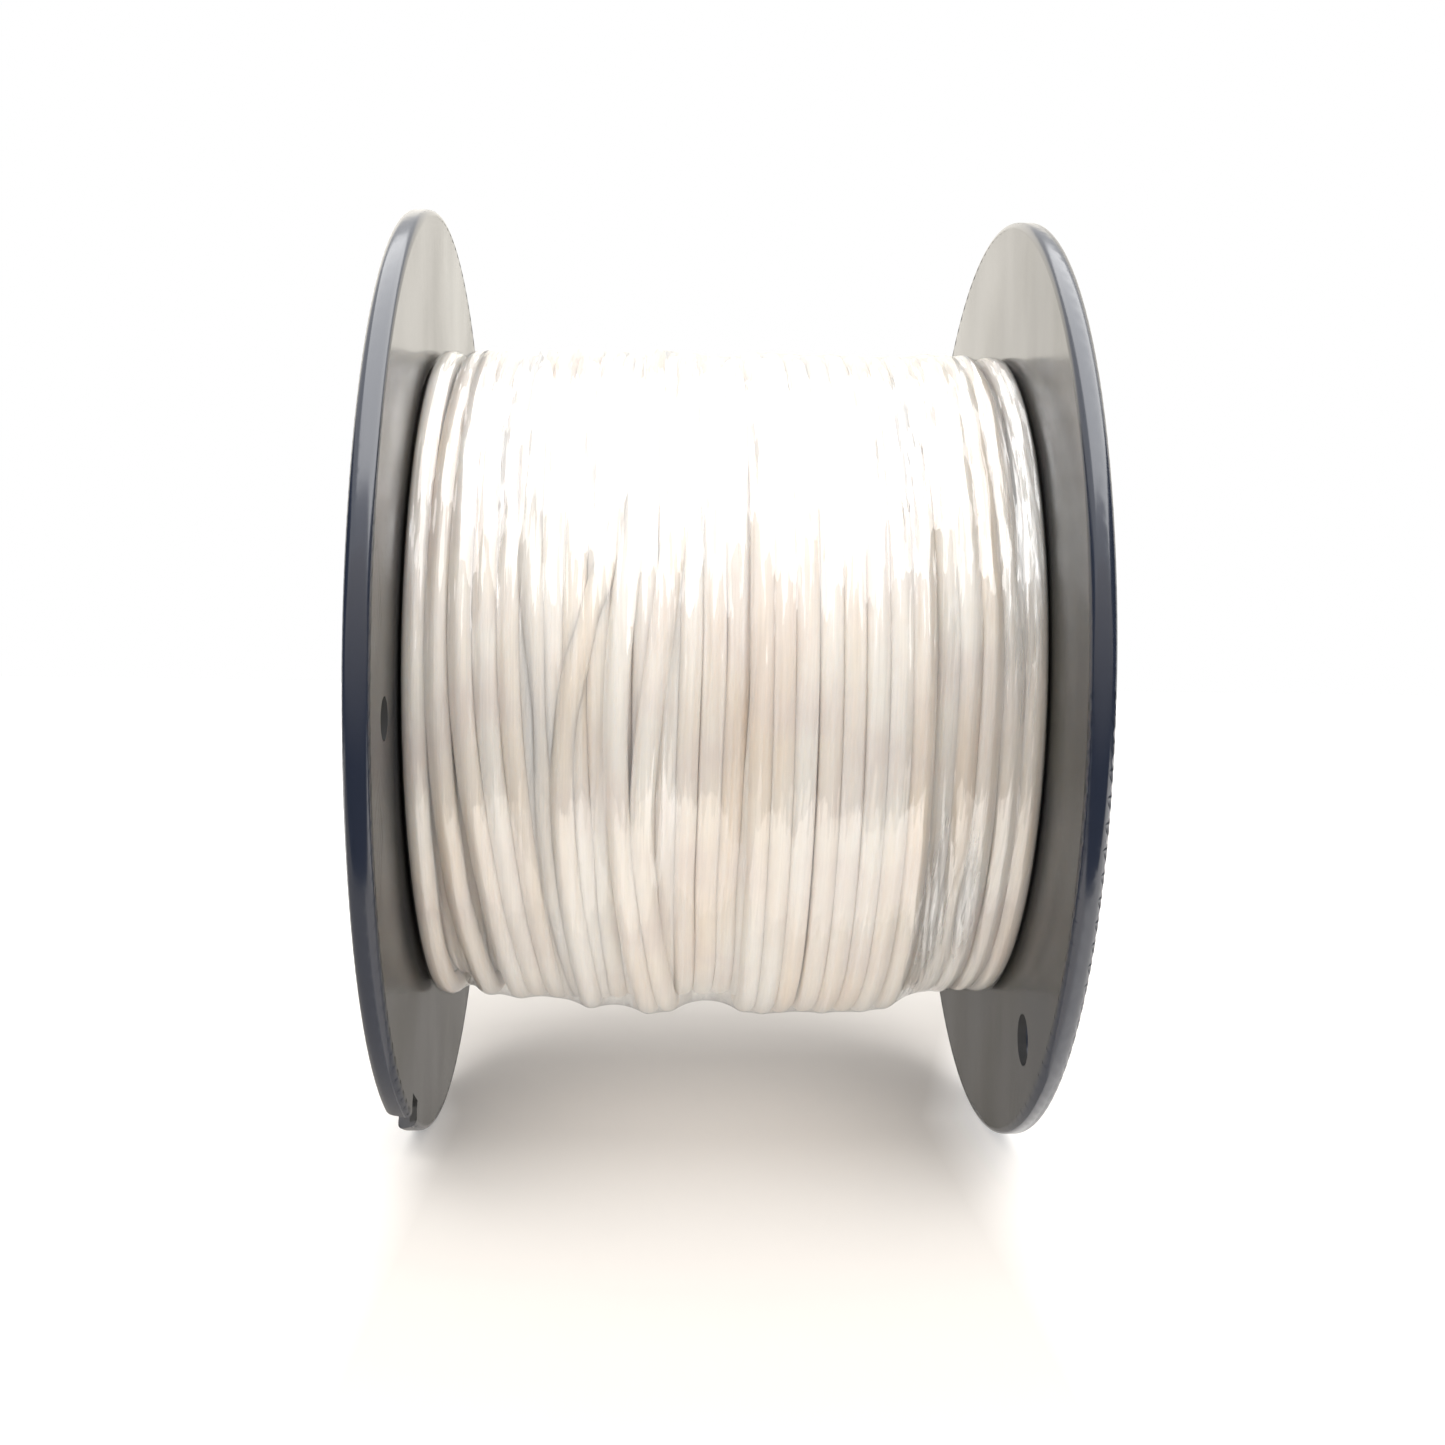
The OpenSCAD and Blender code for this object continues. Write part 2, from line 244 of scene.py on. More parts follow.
@dataclass(frozen=True)
class MouldedPolystyrene:
    """Black high-impact polystyrene from a polished mould: deep colour, clear gloss and a faintly wavy skin.

    The inner faces are dulled by dust and scuffs, and the rims stay polished. The inner faces' gloss also
    falls towards the bottom, which paints shade on their lower part.
    """

    name: str = "moulded_black_polystyrene"
    colour: str = "#222836"
    dust_colour: str = "#504d43"
    dust_cover: Span = (0.42, 0.66)
    dust_range: Span = (0.35, 0.7)
    ior: float = 1.5
    roughness: float = 0.17
    roughness_spread: float = 0.1
    roughness_range: Span = (0.3, 0.7)
    rim_from_mm: float = 49.75
    rim_blend_mm: float = 0.35
    rim_roughness: float = 0.2
    rim_gloss: float = 1.0
    scuffed_to_mm: float = 31.5
    scuffed_blend_mm: float = 0.2
    # Painted shade: the inner faces' gloss rises with height, so they mirror darker towards the bottom.
    painted_shade_gloss: Span = (0.065, 0.2)
    painted_shade_z_mm: Span = (-12.0, 16.0)
    scuff_mm: Span = (9.0, 26.0)
    scuff_spread: float = 0.4
    scuff_range: Span = (0.35, 0.65)
    wave_mm: float = 14.0
    wave_depth_mm: float = 0.08
    # The mould's real grain is finer, and is drawn at half a millimetre so that it shows.
    grain_mm: float = 0.5
    grain_depth_mm: float = 0.003

    def material(self) -> Material:
        """Builds the material on Object coordinates.

        Returns:
            The material.
        """
        material, tree = new_material(self.name)
        place = add_node(tree, "ShaderNodeTexCoord").outputs["Object"]
        cloud, grain = (
            add_node(tree, "ShaderNodeTexNoise", {"Vector": place, "Scale": scale, "Detail": detail})
            for scale, detail in ((1 / (self.wave_mm * MM), 1.0), (1 / (self.grain_mm * MM), 2.0))
        )
        across, along = (1 / (size * MM) for size in self.scuff_mm)
        drawn = add_node(tree, "ShaderNodeMapping", {"Vector": place, "Scale": (across, across, along)})
        scuffs = add_node(tree, "ShaderNodeTexNoise", {"Vector": drawn, "Scale": 1.0, "Detail": 2.0})
        flat = add_node(tree, "ShaderNodeVectorMath", (place, (0.0, 1.0, 1.0)), operation="MULTIPLY")
        radius = add_node(tree, "ShaderNodeVectorMath", (flat,), operation="LENGTH")
        spread = add_node(tree, "ShaderNodeVectorMath", (place,), operation="ABSOLUTE")
        aside = add_node(tree, "ShaderNodeSeparateXYZ", (spread,)).outputs["X"]
        height = add_node(tree, "ShaderNodeSeparateXYZ", (place,)).outputs["Z"]
        rim_mm = (self.rim_from_mm - self.rim_blend_mm, self.rim_from_mm)
        inner_mm = (self.scuffed_to_mm - self.scuffed_blend_mm, self.scuffed_to_mm)
        half_rough, half_scuff = self.roughness_spread / 2, self.scuff_spread / 2
        # The gloss that rises with height is painted shade: the inner faces mirror darker towards the bottom.
        face, inner, dust, rough, painted_shade_by_height, streak = (
            add_node(tree, "ShaderNodeMapRange", (value, *known, *given))
            for value, known, given in (
                (radius, (mm * MM for mm in rim_mm), (1.0, 0.0)),
                (aside, (mm * MM for mm in inner_mm), (1.0, 0.0)),
                (cloud, self.dust_range, self.dust_cover),
                (cloud, self.roughness_range, (self.roughness - half_rough, self.roughness + half_rough)),
                (height, (mm * MM for mm in self.painted_shade_z_mm), self.painted_shade_gloss),
                (scuffs, self.scuff_range, (1 - half_scuff, 1 + half_scuff)),
            )
        )
        scuffed = add_node(tree, "ShaderNodeMath", (face, inner), operation="MULTIPLY")
        dusty = add_node(tree, "ShaderNodeMath", (dust, scuffed), operation="MULTIPLY")
        dulled = add_node(tree, "ShaderNodeMath", (painted_shade_by_height, streak), operation="MULTIPLY")
        tint, polish, mirror = (
            add_node(tree, "ShaderNodeMix", {"Factor": share, "A": first, "B": second}, data_type=kind)
            for kind, share, first, second in (
                ("RGBA", dusty, linear(self.colour), linear(self.dust_colour)),
                ("FLOAT", face, self.rim_roughness, rough),
                ("FLOAT", scuffed, self.rim_gloss, dulled),
            )
        )
        depth, fine_depth = self.wave_depth_mm * MM, self.grain_depth_mm * MM
        waves = add_node(tree, "ShaderNodeBump", {"Height": cloud, "Distance": depth, "Strength": face})
        skin = add_node(
            tree,
            "ShaderNodeBump",
            {"Height": grain, "Distance": fine_depth, "Strength": 1.0, "Normal": waves},
        )
        shader = add_node(
            tree,
            "ShaderNodeBsdfPrincipled",
            {
                "Base Color": tint,
                "Roughness": polish,
                "IOR": self.ior,
                "Specular IOR Level": mirror,
                "Normal": skin,
            },
        )
        add_node(tree, "ShaderNodeOutputMaterial", {"Surface": shader})
        return material


@dataclass(frozen=True)
class ExtrudedLine:
    """Cream line with a soft extruded coat: opaque, smooth and satin, with faint streaks along it."""

    name: str = "extruded_cream_line"
    colour: str = "#f7f2ec"
    warm_colour: str = "#f3e6d8"
    warm_range: Span = (0.4, 0.7)
    grey_colour: str = "#e5dad6"
    grey_range: Span = (0.45, 0.75)
    grey_cover: float = 0.7
    ior: float = 1.5
    roughness: float = 0.42
    streak_mm: float = 45.0
    mottle_mm: float = 9.0
    scatter: float = 0.6
    scatter_mm: float = 1.0
    scatter_shares: Point = (1.0, 0.9, 0.8)

    def material(self) -> Material:
        """Builds the material on the line's own length, so that its streaks follow each turn.

        Returns:
            The material.
        """
        material, tree = new_material(self.name)
        along = add_node(tree, "ShaderNodeAttribute", attribute_name="line_metre").outputs["Fac"]
        place = add_node(tree, "ShaderNodeTexCoord").outputs["Object"]
        streaks = add_node(
            tree,
            "ShaderNodeTexNoise",
            {"W": along, "Scale": 1 / (self.streak_mm * MM), "Detail": 2.0},
            noise_dimensions="1D",
        )
        mottle = add_node(
            tree, "ShaderNodeTexNoise", {"Vector": place, "Scale": 1 / (self.mottle_mm * MM), "Detail": 3.0}
        )
        tint = linear(self.colour)
        for pattern, known, cover, colour in (
            (streaks, self.warm_range, 1.0, self.warm_colour),
            (mottle, self.grey_range, self.grey_cover, self.grey_colour),
        ):
            share = add_node(tree, "ShaderNodeMapRange", (pattern, *known, 0.0, cover))
            colours = {"Factor": share, "A": tint, "B": linear(colour)}
            tint = add_node(tree, "ShaderNodeMix", colours, data_type="RGBA")
        shader = add_node(
            tree,
            "ShaderNodeBsdfPrincipled",
            {
                "Base Color": tint,
                "Roughness": self.roughness,
                "IOR": self.ior,
                "Subsurface Weight": self.scatter,
                "Subsurface Radius": self.scatter_shares,
                "Subsurface Scale": self.scatter_mm * MM,
            },
        )
        add_node(tree, "ShaderNodeOutputMaterial", {"Surface": shader})
        return material


@dataclass(frozen=True)
class Creases:
    """Fine creases in a ply of film: spacing across, run along the wrap, and tilt across and along."""

    across_mm: float
    along_mm: float
    tilt_across: float
    tilt_along: float


@dataclass(frozen=True)
class StretchFilm:
    """Clear stretch film in plies: a faint milky haze, and a gloss that each ply breaks up with its creases.

    Where it is crinkled, its folds are duller, and darker by painted shade in their colour.
    """

    name: str = "clear_stretch_film"
    tint: str = "#fbfaf8"
    haze: Span = (0.02, 0.22)
    haze_mm: Span = (0.6, 40.0)
    haze_range: Span = (0.35, 0.7)
    crinkled_haze: float = 0.5
    plies_gloss: float = 0.21
    edge_gloss: float = 0.8
    edge_power: float = 5.0
    crinkled_gloss: float = 0.2
    roughness: float = 0.05
    outer_creases: Creases = Creases(1.9, 15.0, 0.3, 0.45)
    inner_creases: Creases = Creases(0.45, 9.0, 0.6, 0.6)
    crinkled_gain: float = 3.0
    fold_mm: Span = (0.5, 9.0)
    fold_range: Span = (0.52, 0.58)
    fold_dulling: float = -0.85
    # Painted shade: the folds' colour darkens what shows through the film.
    fold_painted_shade_colour: str = "#a89f94"

    def drawn_noise(self, tree: NodeTree, across_mm: float, along_mm: float) -> Node:
        """Adds noise that is drawn out along the wrap, on the film's own map.

        Args:
            tree: The material's node tree.
            across_mm: The pattern's size across the wrap.
            along_mm: Its size along the wrap.

        Returns:
            The noise.
        """
        flat = add_node(tree, "ShaderNodeUVMap", uv_map="film")
        scale = (1 / (across_mm * MM), 1 / (along_mm * MM), 1.0)
        drawn = add_node(tree, "ShaderNodeMapping", {"Vector": flat, "Scale": scale})
        values = {"Vector": drawn, "Scale": 1.0, "Detail": 2.0}
        return add_node(tree, "ShaderNodeTexNoise", values, noise_dimensions="2D")

    def gloss(self, tree: NodeTree, creases: Creases) -> Node:
        """Adds the gloss of one ply, whose creases tilt it on the film's own map.

        Args:
            tree: The material's node tree.
            creases: The ply's creases.

        Returns:
            The ply's shader.
        """
        noise = self.drawn_noise(tree, creases.across_mm, creases.along_mm).outputs["Color"]
        even = add_node(tree, "ShaderNodeVectorMath", (noise, (0.5, 0.5, 0.5)), operation="SUBTRACT")
        tilts = (creases.tilt_across, creases.tilt_along, 0.0)
        tilt = add_node(tree, "ShaderNodeVectorMath", (even, tilts), operation="MULTIPLY")
        crinkled, streaked = (
            add_node(tree, "ShaderNodeAttribute", attribute_name=name).outputs["Fac"]
            for name in ("crinkled", "streaked")
        )
        shares = (crinkled, self.crinkled_gain, streaked)
        gain = add_node(tree, "ShaderNodeMath", shares, operation="MULTIPLY_ADD")
        deep = add_node(tree, "ShaderNodeVectorMath", {0: tilt, "Scale": gain}, operation="SCALE")
        packed = add_node(tree, "ShaderNodeVectorMath", (deep, (0.5, 0.5, 1.0)), operation="ADD")
        normal = add_node(tree, "ShaderNodeNormalMap", {"Color": packed}, space="TANGENT", uv_map="film")
        return add_node(tree, "ShaderNodeBsdfGlossy", {"Roughness": self.roughness, "Normal": normal})

    def material(self) -> Material:
        """Builds the material on the film's own map, in metres across and along the wrap.

        Returns:
            The material.
        """
        material, tree = new_material(self.name)
        slant = add_node(tree, "ShaderNodeLayerWeight", {"Blend": 0.5}).outputs["Facing"]
        steep = add_node(tree, "ShaderNodeMath", (slant, self.edge_power), operation="POWER")
        crinkled = add_node(tree, "ShaderNodeAttribute", attribute_name="crinkled").outputs["Fac"]
        edged, haze, fold = (
            add_node(tree, "ShaderNodeMapRange", (value, *known, *given))
            for value, known, given in (
                (steep, (0.0, 1.0), (self.plies_gloss, self.edge_gloss)),
                (self.drawn_noise(tree, *self.haze_mm), self.haze_range, self.haze),
                (self.drawn_noise(tree, *self.fold_mm), self.fold_range, (0.0, 1.0)),
            )
        )
        held = {"operation": "MULTIPLY_ADD", "use_clamp": True}
        share, milk = (
            add_node(tree, "ShaderNodeMath", (crinkled, more, plain), **held)
            for more, plain in ((self.crinkled_gloss, edged), (self.crinkled_haze, haze))
        )
        # Painted shade: where the film folds, it darkens what shows through it.
        folded = add_node(tree, "ShaderNodeMath", (fold, crinkled), operation="MULTIPLY", use_clamp=True)
        colours = {"Factor": folded, "A": linear(self.tint), "B": linear(self.fold_painted_shade_colour)}
        shade = add_node(tree, "ShaderNodeMix", colours, data_type="RGBA")
        clear = add_node(tree, "ShaderNodeBsdfTransparent", {"Color": shade})
        milky = add_node(tree, "ShaderNodeBsdfDiffuse", {"Color": linear(self.tint)})
        body = add_node(tree, "ShaderNodeMixShader", (milk, clear, milky))
        outer, inner = (self.gloss(tree, creases) for creases in (self.outer_creases, self.inner_creases))
        plies = add_node(tree, "ShaderNodeMixShader", (0.5, outer, inner))
        dulled = add_node(
            tree, "ShaderNodeMath", (folded, self.fold_dulling, 1.0), operation="MULTIPLY_ADD"
        )
        mirrored = add_node(tree, "ShaderNodeMath", (share, dulled), operation="MULTIPLY")
        both = add_node(tree, "ShaderNodeMixShader", (mirrored, body, plies))
        add_node(tree, "ShaderNodeOutputMaterial", {"Surface": both})
        return material


@dataclass(frozen=True)
class CameraFit:
    """The photograph's view, fitted to both rims: its place, its turns in degrees and its focal length."""

    place_mm: Point = (-5.49, -198.29, 2.11)
    yaw: float = 1.825
    pitch: float = -2.084
    roll: float = 0.808
    focal_px: float = 1757.7
    frame_px: int = 1445
    sensor_mm: float = 36.0
    clip: Span = (0.01, 20.0)

    def build(self) -> Object:
        """Makes the camera and sets it as the scene's own.

        Returns:
            The camera.
        """
        data = bpy.data.cameras.new("camera")
        data.sensor_fit = "HORIZONTAL"
        data.sensor_width = self.sensor_mm
        data.lens = self.sensor_mm * self.focal_px / self.frame_px
        data.clip_start, data.clip_end = self.clip
        yaw, pitch, roll = (math.radians(a) for a in (self.yaw, self.pitch, self.roll))
        ahead = Vector((math.sin(yaw) * math.cos(pitch), math.cos(yaw) * math.cos(pitch), math.sin(pitch)))
        level = ahead.cross(Vector((0, 0, 1))).normalized()
        upright = level.cross(ahead)
        right = math.cos(roll) * level + math.sin(roll) * upright
        up = math.cos(roll) * upright - math.sin(roll) * level
        turn = Matrix((right, up, -ahead)).transposed().to_4x4()
        camera = bpy.data.objects.new("camera", data)
        camera.matrix_world = Matrix.Translation(Vector(self.place_mm) * MM) @ turn
        bpy.context.scene.collection.objects.link(camera)
        bpy.context.scene.camera = camera
        return camera


@dataclass
class Studio:
    """A pale floor, three soft lights and cards that only reflections see, with all sizes in metres.

    The floor has a painted glow that only looking and mirroring rays see. It is painted light: higher right
    under the winding, low round the spool, and high away from it and beside the flanges, where it paints
    out their shade. The lights are a long box overhead, a fill in front and a bounce under the winding. The
    cards are painted reflections that glow though they are no lamps: a bright sky, a dark room, a dim floor
    and a high window at the back.
    """

    floor_z: float
    floor_size: float = 6.0
    floor_colour: str = "#dbd6d0"
    # The floor's glow is painted light: its lift is higher right under the winding and low round the spool,
    # and its glow beside the flanges paints out their shade.
    floor_lifts: Span = (0.18, 0.03)
    lift_at: Span = (0.05, 0.075)
    painted_glow_at: Span = (0.09, 0.38)
    side_painted_glow_at: Span = (0.026, 0.037)
    side_painted_glow: float = 0.5
    side_shift: float = 0.002
    side_behind: float = -0.2
    world_levels: Span = (0.95, 0.5)
    box_x: Span = (-0.5, 0.5)
    box_y: Span = (-0.45, 0.12)
    box_z: float = 0.5
    box_level: float = 2.0
    # The sky is a card that only reflections see: a painted reflection, which glows though it is no lamp.
    sky_x: Span = (-0.3, 1.2)
    sky_y: Span = (-0.5, 0.3)
    sky_z: float = 0.45
    sky_level: float = 3.6
    fill_y: float = -0.9
    fill_size: Span = (1.6, 0.8)
    fill_level: float = 1.06
    bounce_y: Span = (-0.06, 0.04)
    bounce_width: float = 0.056
    bounce_level: float = 0.76
    # Cards that only reflections see, all painted reflections: a dark room in front, fading to light at its
    # top, and at the sides, a dim floor that paints shade into what the flanges mirror, and a high window at
    # the back.
    dark_y: float = -0.074
    dark_width: float = 0.9
    dark_height: float = 0.075
    wing_x: float = 0.3
    wing_y: Span = (-0.15, 0.15)
    wing_height: float = 0.2
    dark_colour: str = "#232a3b"
    dark_top_colour: str = "#f4ece4"
    fade_from: float = 0.45
    dim_x: float = 0.0305
    dim_y: Span = (-0.03, 0.4)
    dim_colour: str = "#b9b4ae"
    dim_left: Span = (-0.25, -0.031)
    dim_left_y: Span = (-0.25, 0.02)
    window_x: float = 0.8
    window_y: float = 0.7
    window_z: Span = (0.09, 0.55)
    window_levels: Span = (1.85, 1.55)
    window_colour: str = "#fffaf0"
    camera: CameraFit = field(default_factory=CameraFit)

    def build(self) -> None:
        """Builds the whole stage."""
        bpy.context.scene.view_settings.view_transform = "Standard"
        self.camera.build()
        self.build_floor()
        self.build_world()
        self.build_lights()
        self.build_reflections()

    def seen_share(self, tree: NodeTree) -> Node:
        """Adds nodes that give one for rays that look at a surface and nought for rays that light with it.

        Args:
            tree: The node tree of the surface or the world.

        Returns:
            The last of the nodes.
        """
        path = add_node(tree, "ShaderNodeLightPath").outputs
        rays = (path["Is Glossy Ray"], path["Is Transmission Ray"])
        mirrored = add_node(tree, "ShaderNodeMath", rays, operation="MAXIMUM")
        return add_node(tree, "ShaderNodeMath", (path["Is Camera Ray"], mirrored), operation="MAXIMUM")

    def build_floor(self) -> None:
        """Makes the pale floor, with a painted glow where it is seen: it lifts the floor to white away from
        the spool, lightens the shadow right under the winding, keeps it round the spool and paints out the
        shade beside the flanges.
        """
        material, tree = new_material("white_paper_floor")
        place = add_node(tree, "ShaderNodeNewGeometry").outputs["Position"]
        away = add_node(tree, "ShaderNodeVectorMath", (place,), operation="LENGTH")
        parts = add_node(tree, "ShaderNodeSeparateXYZ", (place,)).outputs
        shifted = add_node(tree, "ShaderNodeMath", (parts["X"], self.side_shift), operation="ADD")
        beside = add_node(tree, "ShaderNodeMath", (shifted,), operation="ABSOLUTE")
        behind = add_node(tree, "ShaderNodeMath", (parts["Y"], 0.0), operation="MAXIMUM")
        shares = (behind, self.side_behind, beside)
        aside = add_node(tree, "ShaderNodeMath", shares, operation="MULTIPLY_ADD")
        # Painted light: the glow lightens the shadow right under the winding, is low round the spool, and
        # paints out the shade beside the flanges, less so behind them.
        painted_glow = 0.0
        for distance, known, given in (
            (away, self.lift_at, self.floor_lifts),
            (away, self.painted_glow_at, (0.0, 1.0)),
            (aside, self.side_painted_glow_at, (0.0, self.side_painted_glow)),
        ):
            rise = add_node(tree, "ShaderNodeMapRange", (distance, *known, *given))
            painted_glow = add_node(tree, "ShaderNodeMath", (rise, painted_glow), operation="ADD", use_clamp=True)
        share = add_node(tree, "ShaderNodeMath", (self.seen_share(tree), painted_glow), operation="MULTIPLY")
        paper = add_node(tree, "ShaderNodeBsdfDiffuse", {"Color": linear(self.floor_colour)})
        glow = add_node(tree, "ShaderNodeEmission", {"Color": linear(WHITE), "Strength": share})
        both = add_node(tree, "ShaderNodeAddShader", (paper, glow))
        add_node(tree, "ShaderNodeOutputMaterial", {"Surface": both})
        half = self.floor_size / 2
        corners = ((-half, -half), (half, -half), (half, half), (-half, half))
        points = np.array([(x, y, self.floor_z) for x, y in corners])
        floor = mesh_object("floor", points, np.array([(0, 1, 2, 3)]), smooth=False)
        floor.data.materials.append(material)
        floor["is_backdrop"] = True

    def build_world(self) -> None:
        """Makes a soft white surround that lights less from the back and is pure white where it is seen."""
        world = bpy.data.worlds.new("studio")
        bpy.context.scene.world = world
        world.use_nodes = True
        tree = world.node_tree
        tree.nodes.clear()
        way = add_node(tree, "ShaderNodeTexCoord").outputs["Generated"]
        back = add_node(tree, "ShaderNodeSeparateXYZ", (way,)).outputs["Y"]
        lit = add_node(tree, "ShaderNodeMapRange", (back, -1.0, 1.0, *self.world_levels))
        level = add_node(tree, "ShaderNodeMapRange", (self.seen_share(tree), 0.0, 1.0, lit, 1.0))
        surround = add_node(tree, "ShaderNodeBackground", {"Color": linear(WHITE), "Strength": level})
        add_node(tree, "ShaderNodeOutputWorld", {"Surface": surround})

    def build_lights(self) -> None:
        """Hangs the box over the spool, stands the fill in front and lays the bounce under the winding.

        A panel's level is how bright its face is, where white paper in plain light is one. Its face is
        along its own minus Z, and it is turned about X. Reflections don't see it.
        """
        (left, right), (near, far), (low, high) = self.box_x, self.box_y, self.bounce_y
        over = ((left + right) / 2, (near + far) / 2, self.box_z)
        front = (0.0, self.fill_y, self.floor_z + self.fill_size[1] / 2)
        under = (0.0, (low + high) / 2, self.floor_z + MM)
        for name, size, level, middle, turn in (
            ("soft_box", (right - left, far - near), self.box_level, over, 0),
            ("fill_light", self.fill_size, self.fill_level, front, 90),
            ("bounce_light", (self.bounce_width, high - low), self.bounce_level, under, 180),
        ):
            light = bpy.data.lights.new(name, "AREA")
            light.shape = "RECTANGLE"
            light.size, light.size_y = size
            light.energy = level * math.pi * size[0] * size[1]
            panel = bpy.data.objects.new(name, light)
            panel.matrix_world = Matrix.Translation(middle) @ Matrix.Rotation(math.radians(turn), 4, "X")
            for ray in (Ray.CAMERA, Ray.GLOSSY):
                setattr(panel, ray.value, False)
            bpy.context.scene.collection.objects.link(panel)

    def add_card(self, name: str, corners: list[Point], colours: tuple[str, str], level: float = 1.0) -> None:
        """Stands a glowing card that only reflections see: a painted reflection, which glows though it is no
        lamp.

        Args:
            name: The card's name.
            corners: Its four corners in metres, in turn.
            colours: Its colour at the foot and at the top.
            level: How bright it is, where white is one.
        """
        material, tree = new_material(name)
        low, top = min(c[2] for c in corners), max(c[2] for c in corners)
        place = add_node(tree, "ShaderNodeNewGeometry").outputs["Position"]
        height = add_node(tree, "ShaderNodeSeparateXYZ", (place,)).outputs["Z"]
        share = add_node(
            tree, "ShaderNodeMapRange", (height, low + self.fade_from * (top - low), top + MM)
        )
        tones = {"Factor": share, "A": linear(colours[0]), "B": linear(colours[1])}
        tone = add_node(tree, "ShaderNodeMix", tones, data_type="RGBA")
        glow = add_node(tree, "ShaderNodeEmission", {"Color": tone, "Strength": level})
        add_node(tree, "ShaderNodeOutputMaterial", {"Surface": glow})
        card = mesh_object(name, np.array(corners), np.array([(0, 1, 2, 3)]), smooth=False)
        card.data.materials.append(material)
        for ray in (Ray.CAMERA, Ray.DIFFUSE, Ray.TRANSMISSION, Ray.SHADOW):
            setattr(card, ray.value, False)
        card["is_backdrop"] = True

    def build_reflections(self) -> None:
        """Stands the painted reflections that the gloss mirrors: a dark room, a dim floor between and left of
        the flanges, which paints shade into what they mirror, a high window behind and a bright sky.
        """
        half, low, top = self.dark_width / 2, self.floor_z, self.floor_z + self.dark_height
        y = self.dark_y
        corners = [(-half, y, low), (half, y, low), (half, y, top), (-half, y, top)]
        self.add_card("painted_dark_reflection", corners, (self.dark_colour, self.dark_top_colour))
        top, (near, far), (low_z, top_z) = self.floor_z + self.wing_height, self.wing_y, self.window_z
        for end, level in zip(End, self.window_levels):
            name = end.name.lower()
            x = end.value * self.wing_x
            corners = [(x, near, low), (x, far, low), (x, far, top), (x, near, top)]
            self.add_card(f"painted_dark_reflection_{name}", corners, (self.dark_colour, self.dark_colour))
            x, y = end.value * self.window_x, self.window_y
            corners = [(0.0, y, low_z), (x, y, low_z), (x, y, top_z), (0.0, y, top_z)]
            self.add_card(f"painted_window_reflection_{name}", corners, (self.window_colour, self.window_colour), level)
        flats = (
            ("painted_shade_reflection", (-self.dim_x, self.dim_x), self.dim_y, self.floor_z + MM, self.dim_colour, 1.0),
            ("dim_floor_left", self.dim_left, self.dim_left_y, self.floor_z + MM, self.dim_colour, 1.0),
            ("painted_sky_reflection", self.sky_x, self.sky_y, self.sky_z, WHITE, self.sky_level),
        )
        for name, (left, right), (near, far), z, colour, level in flats:
            corners = [(x, y, z) for x, y in ((left, near), (left, far), (right, far), (right, near))]
            self.add_card(name, corners, (colour, colour), level)


